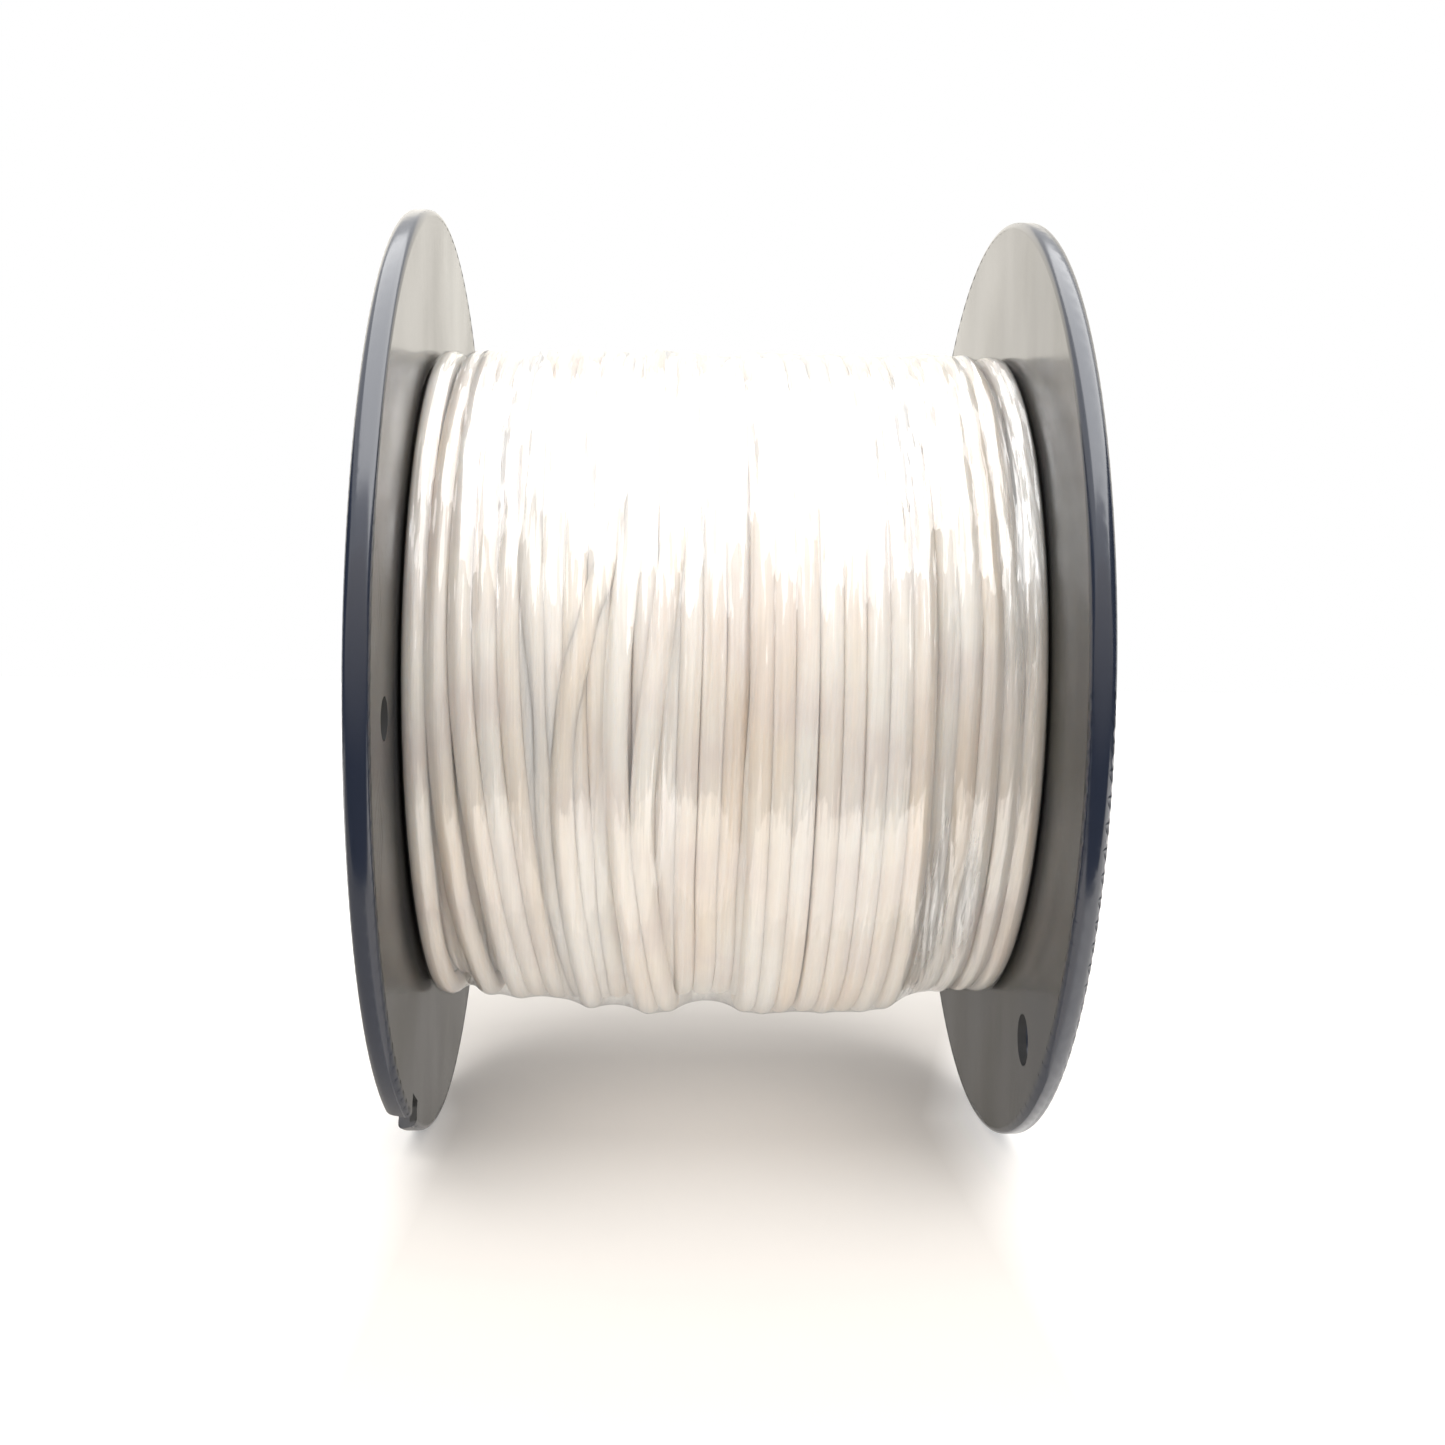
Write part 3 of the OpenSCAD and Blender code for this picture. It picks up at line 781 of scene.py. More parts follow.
@dataclass
class Mouldings:
    """The rigid plastic pieces, which keep their own shape and get their finishes."""

    nodes: dict[str, Object]
    face_x_mm: float
    rim_x_mm: float
    rim_r_mm: float
    rim_round_mm: float = 0.7
    rim_crowns_mm: Span = (0.15, 0.32)
    rim_splits: int = 1
    rim_slack_mm: float = 0.01
    arc_likeness: float = 0.6
    flange_finish: MouldedPolystyrene = field(default_factory=MouldedPolystyrene)
    tube_finish: MouldedPolystyrene = field(
        default_factory=lambda: MouldedPolystyrene(
            name="moulded_satin_polystyrene", colour="#2c2e33", roughness=0.45, wave_depth_mm=0.02
        )
    )

    def dress(self) -> None:
        """Gives each rigid node its finish, and the rims of the flanges their true arcs."""
        for names, finish in (
            (("left_flange", "right_flange"), self.flange_finish),
            (("barrel", "arbor_tube"), self.tube_finish),
        ):
            material = finish.material()
            for name in names:
                self.nodes[name].data.materials.clear()
                self.nodes[name].data.materials.append(material)
                LOG.info("dressed %s", name)
        tree = self.rim_tree()
        core_mm = (self.face_x_mm + self.rim_round_mm, self.rim_x_mm - self.rim_round_mm)
        for end, name, crown_mm in zip(End, ("left_flange", "right_flange"), self.rim_crowns_mm):
            core = sorted(end.value * x * MM for x in core_mm)
            sizes = {
                "Core low": core[0],
                "Core high": core[1],
                "Core radius": (self.rim_r_mm - self.rim_round_mm) * MM,
                "Crown": crown_mm * MM,
                "Round": self.rim_round_mm * MM,
                "Splits": self.rim_splits,
            }
            add_modifier(self.nodes[name], tree, sizes)

    def rim_tree(self) -> NodeTree:
        """Builds the node tree that gives the rounded rim of a flange the true normals of its arcs.

        The arcs stand round a core, which is a ring of a given radius between two places along the axis.

        Returns:
            The tree.
        """
        sizes = ("Core low", "Core high", "Core radius", "Crown", "Round")
        kinds = {name: "NodeSocketFloat" for name in sizes}
        tree, given = geometry_tree("rim_normals", {**kinds, "Splits": "NodeSocketInt"})
        place = add_node(tree, "GeometryNodeInputPosition")
        along = add_node(tree, "ShaderNodeSeparateXYZ", (place,)).outputs["X"]
        flat = add_node(tree, "ShaderNodeVectorMath", (place, (0.0, 1.0, 1.0)), operation="MULTIPLY")
        radius = add_node(tree, "ShaderNodeVectorMath", (flat,), operation="LENGTH")
        spoke = add_node(tree, "ShaderNodeVectorMath", (flat,), operation="NORMALIZE")
        ring = add_node(
            tree, "ShaderNodeVectorMath", {0: spoke, "Scale": given["Core radius"]}, operation="SCALE"
        )
        low = add_node(tree, "ShaderNodeMath", (given["Core low"], given["Crown"]), operation="ADD")
        high = add_node(tree, "ShaderNodeMath", (given["Core high"], given["Crown"]), operation="SUBTRACT")
        cores, ways = [], []
        for least, most in ((given["Core low"], given["Core high"]), (low, high)):
            held = add_node(tree, "ShaderNodeClamp", {"Value": along, "Min": least, "Max": most})
            axis = add_node(tree, "ShaderNodeCombineXYZ", {"X": held})
            cores.append(add_node(tree, "ShaderNodeVectorMath", (axis, ring), operation="ADD"))
            ways.append(add_node(tree, "ShaderNodeVectorMath", (place, cores[-1]), operation="SUBTRACT"))
        true = add_node(tree, "ShaderNodeVectorMath", (ways[0],), operation="NORMALIZE")
        known = add_node(tree, "GeometryNodeInputNormal").outputs["Normal"]
        facing = add_node(
            tree, "GeometryNodeFieldOnDomain", {"Value": known}, data_type="FLOAT_VECTOR", domain="FACE"
        )
        agrees = add_node(tree, "ShaderNodeVectorMath", (true, facing), operation="DOT_PRODUCT")
        slack = self.rim_slack_mm * MM
        least = add_node(tree, "ShaderNodeMath", (given["Core radius"], slack), operation="SUBTRACT")
        alike, outer = (
            add_node(tree, "FunctionNodeCompare", {"A": value, "B": limit}, operation="GREATER_THAN")
            for value, limit in ((agrees, self.arc_likeness), (radius, least))
        )
        arcs = add_node(tree, "FunctionNodeBooleanMath", (alike, outer), operation="AND")
        choices = {"Switch": arcs, "False": known, "True": ways[1]}
        normal = add_node(tree, "GeometryNodeSwitch", choices, input_type="VECTOR")
        reach = add_node(tree, "ShaderNodeVectorMath", {0: true, "Scale": given["Round"]}, operation="SCALE")
        arc = add_node(tree, "ShaderNodeVectorMath", (cores[0], reach), operation="ADD")
        corners = {"mode": "FREE", "domain": "CORNER"}
        shape = {"Mesh": given["Geometry"], "Custom Normal": known}
        kept = add_node(tree, "GeometryNodeSetMeshNormal", shape, **corners)
        split = add_node(tree, "GeometryNodeSubdivideMesh", {"Mesh": kept, "Level": given["Splits"]})
        shape = {"Geometry": split, "Selection": arcs, "Position": arc}
        laid = add_node(tree, "GeometryNodeSetPosition", shape)
        shape = {"Mesh": laid, "Custom Normal": normal}
        shaded = add_node(tree, "GeometryNodeSetMeshNormal", shape, **corners)
        add_node(tree, "NodeGroupOutput", {"Geometry": shaded})
        return tree


@dataclass(frozen=True)
class LooseTurn:
    """One listed turn: how far it stands off what it lies on, and its angles and places."""

    press: float
    route: tuple[Span, ...]

    def places(self, angles: np.ndarray) -> np.ndarray:
        """Gives the turn's place along the axis at each angle."""
        degrees, places = zip(*self.route)
        return np.interp(angles, degrees, places, period=360)


@dataclass
class LineWinding:
    """The line: inner layers that fill the barrel, and outer turns that wander, cross and rise into groups.

    Places are millimetres along the axis, angles are degrees up from the front, and blurs are in samples.
    """

    barrel_r_mm: float
    half_width_mm: float
    line_d_mm: float = 2.2
    squeeze: float = 0.86
    coat_swell_mm: float = 0.08
    spacing_mm: Span = (1.9, 2.25)
    sink_mm: float = 0.16
    sink_sway: float = 0.6
    turns: int = 28
    inner_layers: int = 5
    inner_blur: float = 2.0
    samples: int = 144
    inner_samples: int = 60
    sides: int = 12
    inner_sides: int = 8
    end_gap_mm: float = 0.3
    wander_mm: float = 0.5
    wander_blur: float = 0.6
    part_mm: float = 0.9
    part_deg: Span = (75.0, 45.0)
    part_turns: int = 5
    right_heap_mm: float = 1.2
    heap_from_mm: float = 18.0
    heap_over_mm: float = 4.0
    tight_top: float = 0.75
    tight_from: float = -0.2
    tight_over: float = 1.1
    slant_places_mm: tuple[float, ...] = (-29.0, -25.5, -18.0, -4.0)
    slant_shifts_mm: tuple[float, ...] = (0.4, 3.6, 3.0, 0.0)
    slant_deg: tuple[float, float, float, float] = (-150.0, -95.0, -65.0, 12.0)
    crossover_deg: float = 28.0
    long_crossover_deg: float = 65.0
    climb: float = 0.16
    climb_blur: float = 1.6
    seed: int = 11
    level_places_mm: tuple[float, ...] = (-30.0, -14.0, -3.0, 8.0, 22.0, 30.0)
    level_radii_mm: tuple[float, ...] = (34.3, 34.75, 34.15, 34.2, 33.7, 33.5)
    wide_group_mm: Span = (18.4, 3.3)
    wide_group_turns: int = 8
    wide_shift_mm: float = 0.12
    wide_sway_mm: float = 0.15
    loose_blur: float = 4.0
    loose_turns: tuple[LooseTurn, ...] = (
        LooseTurn(
            0.85,
            (
                *((-180, -5), (-110, -4.5), (-72, -4.9), (-37, -7.3), (-19, -8.2), (-3, -6.9)),
                *((16, -5.3), (36, -4.1), (80, -3.6), (130, -4.4)),
            ),
        ),
        LooseTurn(
            0.85,
            (
                *((-180, -8), (-110, -6.8), (-67, -7.1), (-35, -9.2), (-12, -10.4), (0, -10.4)),
                *((12, -9.6), (35, -8), (80, -7), (130, -7.6)),
            ),
        ),
        LooseTurn(
            0.4,
            (
                *((-180, -12.5), (-110, -13.5), (-60, -13.2), (-30, -15), (-12, -15.6), (4, -14.2)),
                *((11, -12.8), (22, -10), (40, -8.6), (90, -9), (130, -10.8)),
            ),
        ),
        LooseTurn(
            0.3,
            (
                *((-180, -16.5), (-110, -14.2), (-56, -14.6), (-33, -16.3), (-17, -16.9), (0, -17.4)),
                *((17, -18.5), (60, -19.5), (120, -18.5)),
            ),
        ),
    )

    @property
    def line_r_mm(self) -> float:
        """Half of the line's diameter."""
        return self.line_d_mm / 2

    @property
    def section_r_mm(self) -> float:
        """Radius of the swept section, with the coat swelled into the grooves beside it."""
        return self.line_r_mm + self.coat_swell_mm

    @property
    def reach_mm(self) -> float:
        """Place of the last turn's middle at the right end."""
        return self.half_width_mm - self.end_gap_mm - self.line_r_mm

    def level(self, places: np.ndarray, angles: np.ndarray) -> np.ndarray:
        """Gives the radius of the last full layer's centreline, which is higher at the top of the right end.

        Args:
            places: Places along the axis.
            angles: The angle of each place.

        Returns:
            The radius at each place.
        """
        rise = eased((places - self.heap_from_mm) / self.heap_over_mm)
        heap = self.right_heap_mm * rise * (0.5 + 0.5 * np.sin(np.radians(angles)))
        return np.interp(places, self.level_places_mm, self.level_radii_mm) + heap

    def even_places(self) -> np.ndarray:
        """Places of evenly wound turns from the left end to the right end."""
        return np.linspace(-self.reach_mm, self.reach_mm, self.turns)

    def outer_places(self) -> np.ndarray:
        """Gives the places of every outer turn at every angle, before the turns are joined.

        Returns:
            One row of places for each turn: the full layer, the wide group and the loose turns.
        """
        rng = np.random.default_rng(self.seed)
        angles = turn_angles(self.samples)
        rows = []
        for middle in self.even_places():
            waves = sum(
                rng.normal(0, self.wander_mm / order)
                * np.cos(np.radians(order * angles + rng.uniform(0, 360)))
                for order in (1, 2, 3)
            )
            rows.append(middle + waves)
        full = blurred(np.array(rows), self.wander_blur)
        steps = np.clip(np.diff(full, axis=0), *self.spacing_mm)
        steps *= 2 * self.reach_mm / steps.sum(axis=0)
        full = -self.reach_mm + np.vstack([np.zeros(self.samples), np.cumsum(steps, axis=0)])
        parted = self.part_mm * np.exp(-(((angles - self.part_deg[0]) / self.part_deg[1]) ** 2))
        for k in range(1, self.part_turns):
            full[k] += parted * (1 - k / self.part_turns)
            full[-1 - k] -= parted * (1 - k / self.part_turns)
        off, on, full_on, start = self.slant_deg
        slanting = eased((angles - off) / (on - off)) * eased((start - angles) / (start - full_on))
        full += np.interp(full, self.slant_places_mm, self.slant_shifts_mm) * slanting
        wide = []
        for middle in np.linspace(*self.wide_group_mm, self.wide_group_turns):
            shifted = middle + rng.normal(0, self.wide_shift_mm)
            sway = rng.normal(0, self.wide_sway_mm)
            wide.append(shifted + sway * np.cos(np.radians(angles + rng.uniform(0, 360))))
        loose = [blurred(turn.places(angles), self.loose_blur, wrap=True) for turn in self.loose_turns]
        return np.vstack([full, wide, loose])

    def joined(self, rows: np.ndarray) -> np.ndarray:
        """Joins separate turns into one run, each crossing over to the next at the back.

        Args:
            rows: Place along the axis of each turn at each angle.

        Returns:
            The same rows with the crossovers eased in.
        """
        angles = turn_angles(rows.shape[1])
        out = rows.copy()
        for k in range(len(rows) - 1):
            apart = abs(rows[k + 1].mean() - rows[k].mean())
            half = self.long_crossover_deg if apart > 2 * self.line_d_mm else self.crossover_deg
            before = angles > 180 - half
            after = angles < -180 + half
            share = eased((angles[before] - 180 + half) / (2 * half))
            out[k, before] = rows[k, before] * (1 - share) + rows[k + 1, before] * share
            share = eased((angles[after] + 180 + half) / (2 * half))
            out[k + 1, after] = rows[k, after] * (1 - share) + rows[k + 1, after] * share
        return out

    def laid_radii(self, rows: np.ndarray) -> np.ndarray:
        """Lays the turns one after another, each on the last full layer and on the turns below it.

        Args:
            rows: Joined place along the axis of each turn at each angle.

        Returns:
            Radius of each turn's centreline at each angle.
        """
        step = self.climb * 2 * math.pi * self.level_radii_mm[0] / self.samples
        radii = np.zeros_like(rows)
        tight = len(rows) - len(self.loose_turns)
        rng = np.random.default_rng(self.seed + 1)
        angles = turn_angles(self.samples)
        hang = 1.0 - self.tight_top * eased((np.sin(np.radians(angles)) - self.tight_from) / self.tight_over)
        for k, row in enumerate(rows):
            touch = self.line_d_mm * (self.squeeze if k < tight else self.loose_turns[k - tight].press)
            sway = np.cos(np.radians(rng.integers(1, 3) * angles + rng.uniform(0, 360)))
            sunk = rng.uniform(-1, 1) + rng.uniform(-self.sink_sway, self.sink_sway) * sway
            lift = self.level(row, angles) + self.sink_mm * sunk
            for j in range(k if k >= self.turns else 0):
                apart = row - rows[j]
                over = radii[j] + hang * np.sqrt(np.maximum(touch**2 - apart**2, 0.0))
                lift = np.where(np.abs(apart) < touch, np.maximum(lift, over), lift)
            for i in range(1, self.samples):
                lift[i] = max(lift[i], lift[i - 1] - step)
            for i in range(self.samples - 2, -1, -1):
                lift[i] = max(lift[i], lift[i + 1] - step)
            radii[k] = lift
        return blurred(radii.reshape(-1), self.climb_blur).reshape(rows.shape)

    def inner_rows(self) -> tuple[np.ndarray, np.ndarray]:
        """Gives the places and radii of the inner layers, which run to and fro between the flanges.

        Returns:
            One row of places and one of radii for each turn.
        """
        rows, radii = [], []
        places = self.even_places()
        lowest = self.barrel_r_mm + self.line_r_mm
        for layer in range(self.inner_layers):
            share = layer / self.inner_layers
            for middle in places if layer % 2 == 0 else places[::-1]:
                row = np.full(self.inner_samples, middle)
                rows.append(row)
                radii.append(lowest + (self.level(row, turn_angles(self.inner_samples)) - lowest) * share)
        joined = self.joined(np.array(rows))
        return joined, blurred(np.array(radii).reshape(-1), self.inner_blur).reshape(joined.shape)

    def path(self, rows: np.ndarray, radii: np.ndarray) -> np.ndarray:
        """Turns places and radii into one path.

        Args:
            rows: Place along the axis of each turn at each angle.
            radii: Radius of each turn at each angle.

        Returns:
            The points of the path in metres.
        """
        around = np.radians(np.tile(turn_angles(rows.shape[1]), len(rows)))
        r = radii.reshape(-1)
        return np.stack([rows.reshape(-1), -r * np.cos(around), r * np.sin(around)], axis=1) * MM

    def sweep_tree(self) -> NodeTree:
        """Builds the node tree that sweeps a round section along a path of edges.

        Returns:
            The tree.
        """
        kinds = {"Line radius": "NodeSocketFloat", "Sides": "NodeSocketInt", "Finish": "NodeSocketMaterial"}
        tree, given = geometry_tree("line_sweep", kinds)
        run = add_node(tree, "GeometryNodeMeshToCurve", {"Mesh": given["Geometry"]})
        sizes = {"Resolution": given["Sides"], "Radius": given["Line radius"]}
        section = add_node(tree, "GeometryNodeCurvePrimitiveCircle", sizes)
        curves = {"Curve": run, "Profile Curve": section, "Fill Caps": True}
        swept = add_node(tree, "GeometryNodeCurveToMesh", curves)
        smooth = add_node(tree, "GeometryNodeSetShadeSmooth", (swept,))
        real = add_node(tree, "GeometryNodeRealizeInstances", {"Geometry": smooth})
        shape = {"Geometry": real, "Material": given["Finish"]}
        dressed = add_node(tree, "GeometryNodeSetMaterial", shape)
        add_node(tree, "NodeGroupOutput", {"Geometry": dressed})
        return tree

    def sweep(self, name: str, path: np.ndarray, sides: int, tree: NodeTree, finish: Material) -> Object:
        """Sweeps the line along a path and keeps the result as a plain mesh.

        Args:
            name: The piece's name.
            path: Points in metres.
            sides: Sides of the line's section.
            tree: The sweep's node tree.
            finish: The line's material.

        Returns:
            The piece.
        """
        guide = bpy.data.meshes.new(name + "_path")
        guide.from_pydata([tuple(p) for p in path], [(i, i + 1) for i in range(len(path) - 1)], [])
        steps = np.linalg.norm(np.diff(path, axis=0), axis=1)
        metres = np.concatenate([[0.0], np.cumsum(steps)])
        marks = guide.attributes.new("line_metre", "FLOAT", "POINT")
        marks.data.foreach_set("value", metres.astype(np.float32))
        piece = bpy.data.objects.new(name, guide)
        bpy.context.scene.collection.objects.link(piece)
        sizes = {"Line radius": self.section_r_mm * MM, "Sides": sides, "Finish": finish}
        modifier = add_modifier(piece, tree, sizes)
        graph = bpy.context.evaluated_depsgraph_get()
        shape = piece.evaluated_get(graph)
        mesh = bpy.data.meshes.new_from_object(shape, preserve_all_data_layers=True, depsgraph=graph)
        piece.modifiers.remove(modifier)
        piece.data = mesh
        mesh.name = name
        bpy.data.meshes.remove(guide)
        LOG.info("swept %s: %.1f m of line, %d faces", name, metres[-1], len(mesh.polygons))
        return piece

    def build(self, finish: ExtrudedLine) -> tuple[np.ndarray, np.ndarray]:
        """Builds both pieces of the winding.

        Args:
            finish: The line's finish.

        Returns:
            Places and radii of the outer turns, for the film that lies over them.
        """
        material, tree = finish.material(), self.sweep_tree()
        inner = self.path(*self.inner_rows())
        rows = self.joined(self.outer_places())
        radii = self.laid_radii(rows)
        outer = self.path(rows, radii)
        for name, path, sides, node in (
            ("wound_line_inner", inner, self.inner_sides, "line_core"),
            ("wound_line_outer", outer, self.sides, "line_outer_layer"),
        ):
            piece = self.sweep(name, path, sides, tree, material)
            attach(piece, BODY)
            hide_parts(node)
        return rows, radii


@dataclass(frozen=True)
class Crinkle:
    """A patch of fine creases in the film: its middle, its reach, and the creases' spacing and depth."""

    at_mm: float
    at_deg: float
    reach_mm: float
    reach_deg: float
    depth_mm: float = 0.07
    share: float = 1.0
    spacing_mm: float = 0.75
    slant: float = 0.05


@dataclass
class FilmWrap:
    """The clear film: a sheet drawn tight over the turns, which spans their grooves and laps at the back."""

    turn_places_mm: np.ndarray
    turn_radii_mm: np.ndarray
    section_r_mm: float
    gap_mm: float = 0.06
    bridge_mm: float = 6.0
    end_bridge_mm: float = 1.5
    end_from_mm: float = 22.0
    end_over_mm: float = 4.0
    groove_mm: float = 1.0
    smooth_mm: float = 0.25
    row_blur: float = 1.0
    columns: int = 380
    shoulder_columns: int = 8
    rows: int = 224
    lap_deg: float = 16.0
    lap_rise_mm: float = 0.12
    shoulder_deg: Span = (96.0, 40.0)
    edge_wave_deg: float = 9.0
    edge_wave_share: Span = (0.4, 1.0)
    edge_waves: int = 3
    low_streaks: float = 0.45
    streaks_from_deg: float = -20.0
    streaks_over_deg: float = 25.0
    seed: int = 5
    crease_shares: Span = (1.0, 0.62)
    crease_bend: float = 0.5
    crease_bends: tuple[int, int] = (6, 12)
    crease_phase: int = 6
    crinkles: tuple[Crinkle, ...] = (
        Crinkle(21.0, -40, 1.4, 16, 0.11),
        Crinkle(24.0, -38, 0.9, 12, 0.07),
        Crinkle(28.0, 25, 2.2, 30, 0.03, 0.7, spacing_mm=0.6),
        Crinkle(17.5, 45, 1.2, 20, 0.05),
        Crinkle(-13.0, 38, 1.0, 14, 0.05),
        Crinkle(0.5, 62, 1.0, 8, 0.06),
        Crinkle(-21.3, 36, 0.5, 16, 0.03, 0.8),
        Crinkle(-18.6, 42, 0.5, 18, 0.03, 0.8),
        Crinkle(-2.5, 36, 0.5, 14, 0.02, 0.7),
        Crinkle(3.0, 46, 0.4, 12, 0.02, 0.7),
        Crinkle(14.5, 34, 0.5, 14, 0.02, 0.7),
        Crinkle(20.2, 42, 0.5, 16, 0.02, 0.7),
    )

    @property
    def reach_mm(self) -> float:
        """How far the film stands off the middle of the line under it."""
        return self.section_r_mm + self.gap_mm

    def turn_rows(self, angles: np.ndarray) -> tuple[np.ndarray, np.ndarray]:
        """Gives the outer turns at the film's own angles.

        Args:
            angles: The angles of the film's rows.

        Returns:
            Places and radii, one row for each turn.
        """
        known = turn_angles(self.turn_places_mm.shape[1])
        places = np.array([np.interp(angles, known, row, period=360) for row in self.turn_places_mm])
        radii = np.array([np.interp(angles, known, row, period=360) for row in self.turn_radii_mm])
        return places, radii

    def bridged(self, heights: np.ndarray, ball_mm: float, step: float) -> np.ndarray:
        """Rolls a ball over each row of heights, so that the film spans the grooves.

        Args:
            heights: Height over each place, one row for each angle.
            ball_mm: The ball's radius.
            step: Distance between places.

        Returns:
            The spanned heights.
        """
        reach = int(ball_mm / step)
        shifts = np.arange(-reach, reach + 1)
        ball = np.sqrt(np.maximum(ball_mm**2 - (shifts * step) ** 2, 0.0))
        count = heights.shape[1]
        for sign, pick in ((1, np.max), (-1, np.min)):
            padded = np.pad(heights, ((0, 0), (reach, reach)), mode="edge")
            moved = [padded[:, reach + s : reach + s + count] + sign * b for s, b in zip(shifts, ball)]
            heights = pick(moved, axis=0)
        return heights

    def draped(self, places: np.ndarray, turns: np.ndarray, radii: np.ndarray, step: float) -> np.ndarray:
        """Lays the film over the turns, closer into the grooves near both ends.

        Args:
            places: Places along the axis, one row for each angle.
            turns: Place of each turn at each angle.
            radii: Radius of each turn at each angle.
            step: Distance between places.

        Returns:
            The film's radius at each place.
        """
        heights = np.full_like(places, -np.inf)
        for row, radius in zip(turns, radii):
            off = places - row[:, None]
            crown = radius[:, None] + np.sqrt(np.maximum(self.reach_mm**2 - off**2, 0.0))
            heights = np.where(np.abs(off) < self.reach_mm, np.maximum(heights, crown), heights)
        heights = np.maximum(heights, heights[heights > 0].min() - self.groove_mm)
        tucked = eased((np.abs(places) - self.end_from_mm) / self.end_over_mm)
        spanned = self.bridged(heights, self.bridge_mm, step)
        heights = spanned + (self.bridged(heights, self.end_bridge_mm, step) - spanned) * tucked
        heights = blurred(heights, self.smooth_mm / step, axis=1)
        return blurred(heights, self.row_blur)

    def creased(self, places: np.ndarray, angles: np.ndarray) -> tuple[np.ndarray, np.ndarray]:
        """Gives the creases of every crinkled patch.

        Args:
            places: Places along the axis, one row for each angle.
            angles: The angle of each place.

        Returns:
            The height of the creases at each place, and how crinkled it is.
        """
        rng = np.random.default_rng(self.seed)
        height = np.zeros_like(places)
        crinkled = np.zeros_like(places)
        for patch in self.crinkles:
            off = places - patch.at_mm
            turn = (angles - patch.at_deg + 180) % 360 - 180
            mask = np.exp(-((off / patch.reach_mm) ** 2) - (turn / patch.reach_deg) ** 2)
            crinkled = np.maximum(crinkled, patch.share * mask)
            for share in self.crease_shares:
                phase = rng.uniform(0, 2 * math.pi)
                runs = np.radians(turn * rng.uniform(*self.crease_bends))
                bend = self.crease_bend * np.sin(runs + rng.uniform(0, self.crease_phase))
                across = 2 * math.pi * (off + patch.slant * turn) / (patch.spacing_mm * share)
                height += patch.depth_mm * share * mask * np.cos(across + phase + bend)
        return height, crinkled

    def shoulder(
        self, end: End, last: tuple[np.ndarray, np.ndarray], edge: np.ndarray, wave: np.ndarray
    ) -> tuple[np.ndarray, np.ndarray]:
        """Turns the film down over one end of the winding.

        Args:
            end: The end.
            last: Place and radius of the last turn there at each angle.
            edge: The film's radius where the shoulder starts, one row for each angle.
            wave: How much further the film reaches round the last turn at each angle, in degrees.

        Returns:
            Places and radii, one row for each angle, from left to right.
        """
        near = math.radians(self.shoulder_deg[1])
        far = np.radians(self.shoulder_deg[0] + wave)[:, None]
        shares = np.linspace(0.0, 1.0, self.shoulder_columns, endpoint=False)
        bend = far + (near - far) * shares
        place, radius = (part[:, None] for part in last)
        side = place + end.value * self.reach_mm * np.sin(bend)
        top = radius + self.reach_mm * np.cos(bend)
        top += (edge - radius - self.reach_mm * math.cos(near)) * shares
        return (side, top) if end is End.LEFT else (side[:, ::-1], top[:, ::-1])

    def build(self, finish: StretchFilm) -> Object:
        """Builds the film's sheet.

        Args:
            finish: The film's finish.

        Returns:
            The piece.
        """
        rng = np.random.default_rng(self.seed)
        angles = np.linspace(-180.0 - self.lap_deg, 180.0, self.rows)
        turns, radii = self.turn_rows(angles)
        ends = []
        for end in End:
            index = np.argmax(end.value * turns, axis=0)[None]
            ends.append([np.take_along_axis(part, index, axis=0)[0] for part in (turns, radii)])
        over = self.reach_mm * math.sin(math.radians(self.shoulder_deg[1]))
        left, right = (last[0] + end.value * over for end, last in zip(End, ends))
        places = left[:, None] + (right - left)[:, None] * np.linspace(0.0, 1.0, self.columns)
        step = float((right - left).mean()) / (self.columns - 1)
        heights = self.draped(places, turns, radii, step)
        creases, crinkled = self.creased(places, angles[:, None] + np.zeros_like(places))
        heights += creases
        sides = []
        for end, last, edge in zip(End, ends, (heights[:, :1], heights[:, -1:])):
            wave = self.edge_wave_deg * np.sin(np.radians(angles * self.edge_waves + rng.uniform(0, 360)))
            sides.append(self.shoulder(end, last, edge, wave * rng.uniform(*self.edge_wave_share)))
        across = np.hstack([sides[0][0], places, sides[1][0]])
        radius = np.hstack([sides[0][1], heights, sides[1][1]])
        radius += self.lap_rise_mm * eased((angles - 180 + 2 * self.lap_deg) / self.lap_deg)[:, None]
        film = self.sheet(across, radius, angles, finish)
        crinkled = np.pad(crinkled, ((0, 0), (self.shoulder_columns, self.shoulder_columns)), mode="edge")
        rise = eased((angles - self.streaks_from_deg) / self.streaks_over_deg)
        streaked = (self.low_streaks + (1 - self.low_streaks) * rise)[:, None] + np.zeros_like(crinkled)
        for name, values in (("crinkled", crinkled), ("streaked", streaked)):
            marks = film.data.attributes.new(name, "FLOAT", "POINT")
            marks.data.foreach_set("value", values.astype(np.float32).reshape(-1))
        return film

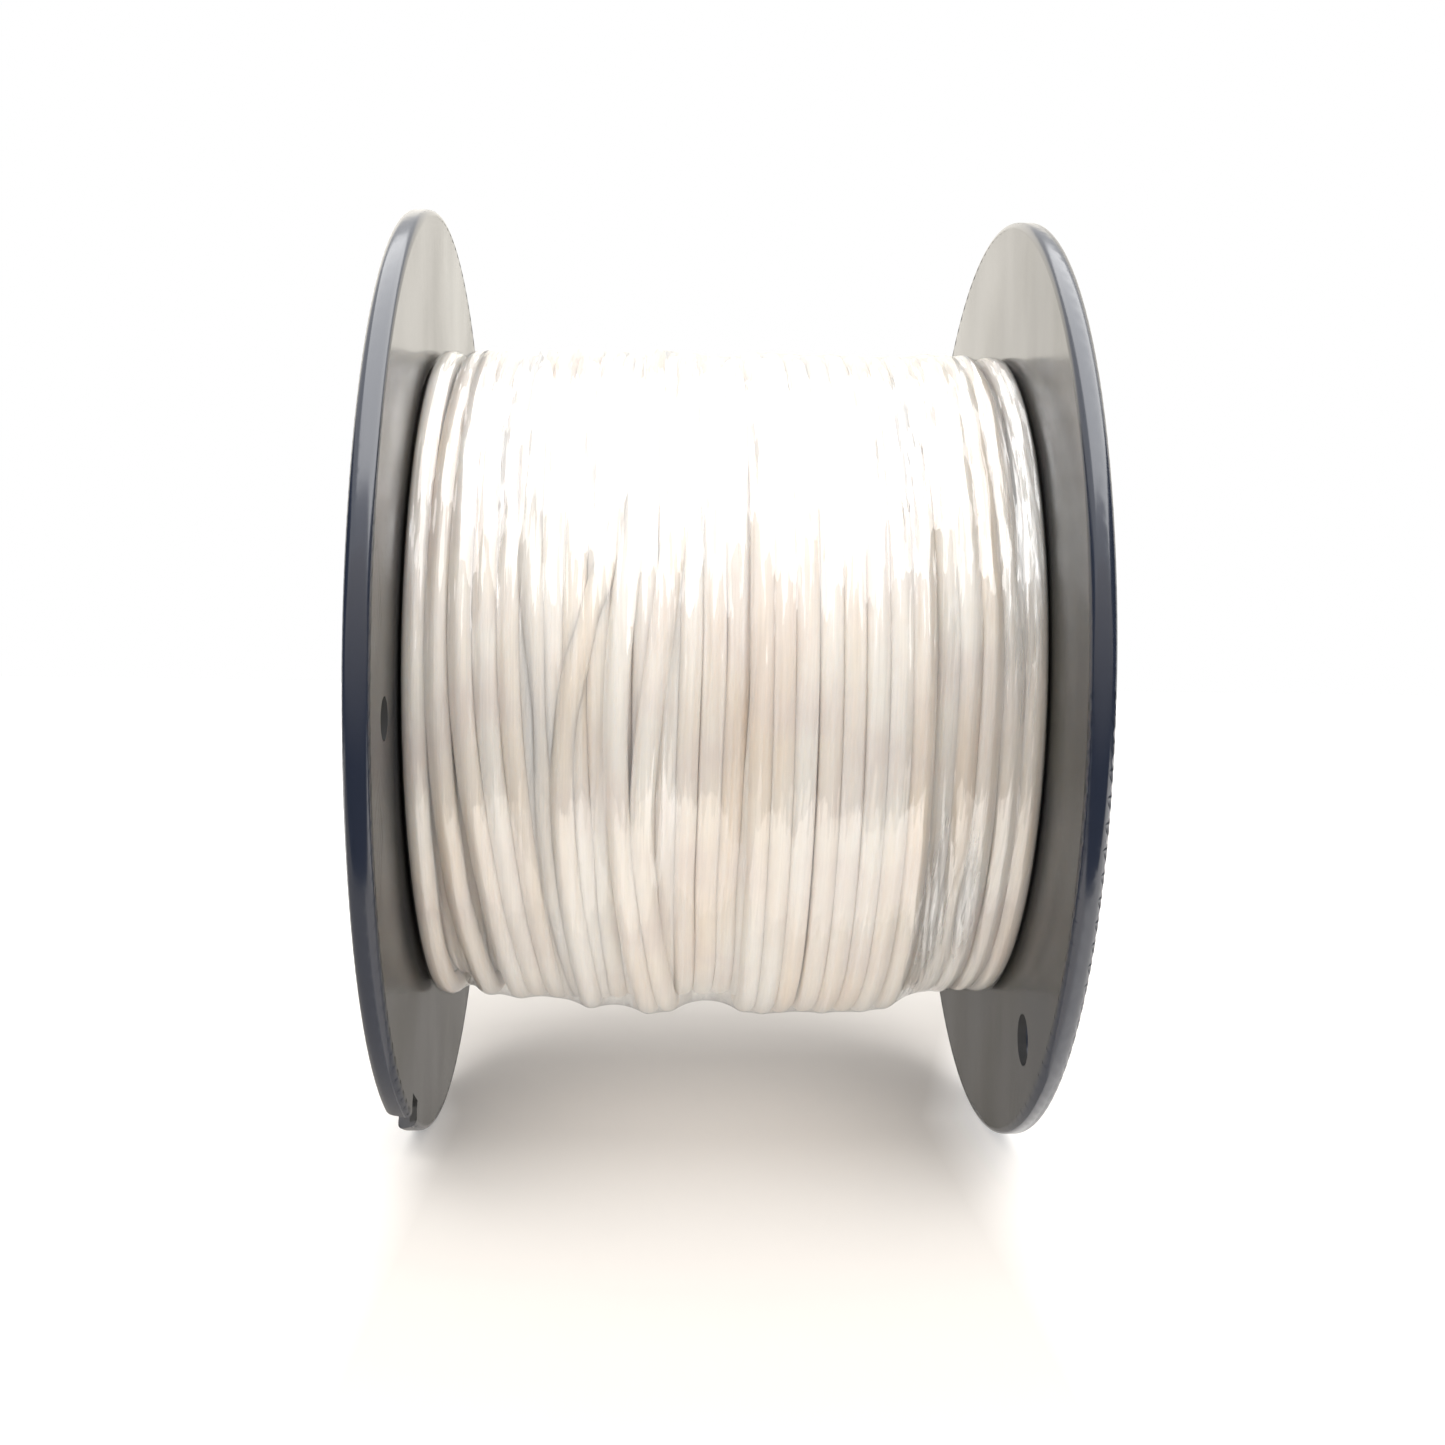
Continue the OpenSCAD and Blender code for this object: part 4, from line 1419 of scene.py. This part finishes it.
    def sheet(
        self, across: np.ndarray, radius: np.ndarray, angles: np.ndarray, finish: StretchFilm
    ) -> Object:
        """Args:
            across: Place along the axis of each point, one row for each angle.
            radius: Radius of each point.
            angles: The rows' angles in degrees up from the front.
            finish: The film's finish.

        Returns:
            The piece.
        """
        rows, columns = across.shape
        around = np.radians(angles)[:, None]
        points = np.stack([across, -radius * np.cos(around), radius * np.sin(around)], axis=2)
        i, j = np.meshgrid(np.arange(rows - 1), np.arange(columns - 1), indexing="ij")
        first = (i * columns + j).reshape(-1)
        faces = np.stack([first, first + 1, first + columns + 1, first + columns], axis=1)
        film = mesh_object("film_sheet", points.reshape(-1, 3) * MM, faces)
        steps = np.hypot(np.diff(across, axis=1), np.diff(radius, axis=1))
        widths = np.concatenate([np.zeros((rows, 1)), np.cumsum(steps, axis=1)], axis=1)
        lengths = around * radius.mean() + np.zeros_like(across)
        flat = np.stack([widths, lengths], axis=2).reshape(-1, 2) * MM
        loops = np.zeros(len(film.data.loops), np.int32)
        film.data.loops.foreach_get("vertex_index", loops)
        uv_map = film.data.uv_layers.new(name="film")
        uv_map.data.foreach_set("uv", flat[loops].astype(np.float32).reshape(-1))
        film.data.materials.append(finish.material())
        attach(film, BODY)
        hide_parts("film_wrap")
        return film


def main() -> None:
    """Builds the stage and every piece of the spool."""
    logging.basicConfig(level=logging.INFO, format="%(name)s: %(message)s")
    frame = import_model()
    cad_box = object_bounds()
    lowest, highest = cad_box
    Studio(floor_z=lowest.z).build()
    barrel_low, barrel_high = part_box("barrel")
    half_width_mm = (barrel_high.x - barrel_low.x) / 2 / MM
    Mouldings(
        frame["nodes"],
        face_x_mm=half_width_mm,
        rim_x_mm=(highest.x - lowest.x) / 2 / MM,
        rim_r_mm=(highest.z - lowest.z) / 2 / MM,
    ).dress()
    winding = LineWinding((barrel_high.z - barrel_low.z) / 2 / MM, half_width_mm)
    places, radii = winding.build(ExtrudedLine())
    FilmWrap(places, radii, winding.section_r_mm).build(StretchFilm())


if __name__ == "__main__":
    main()
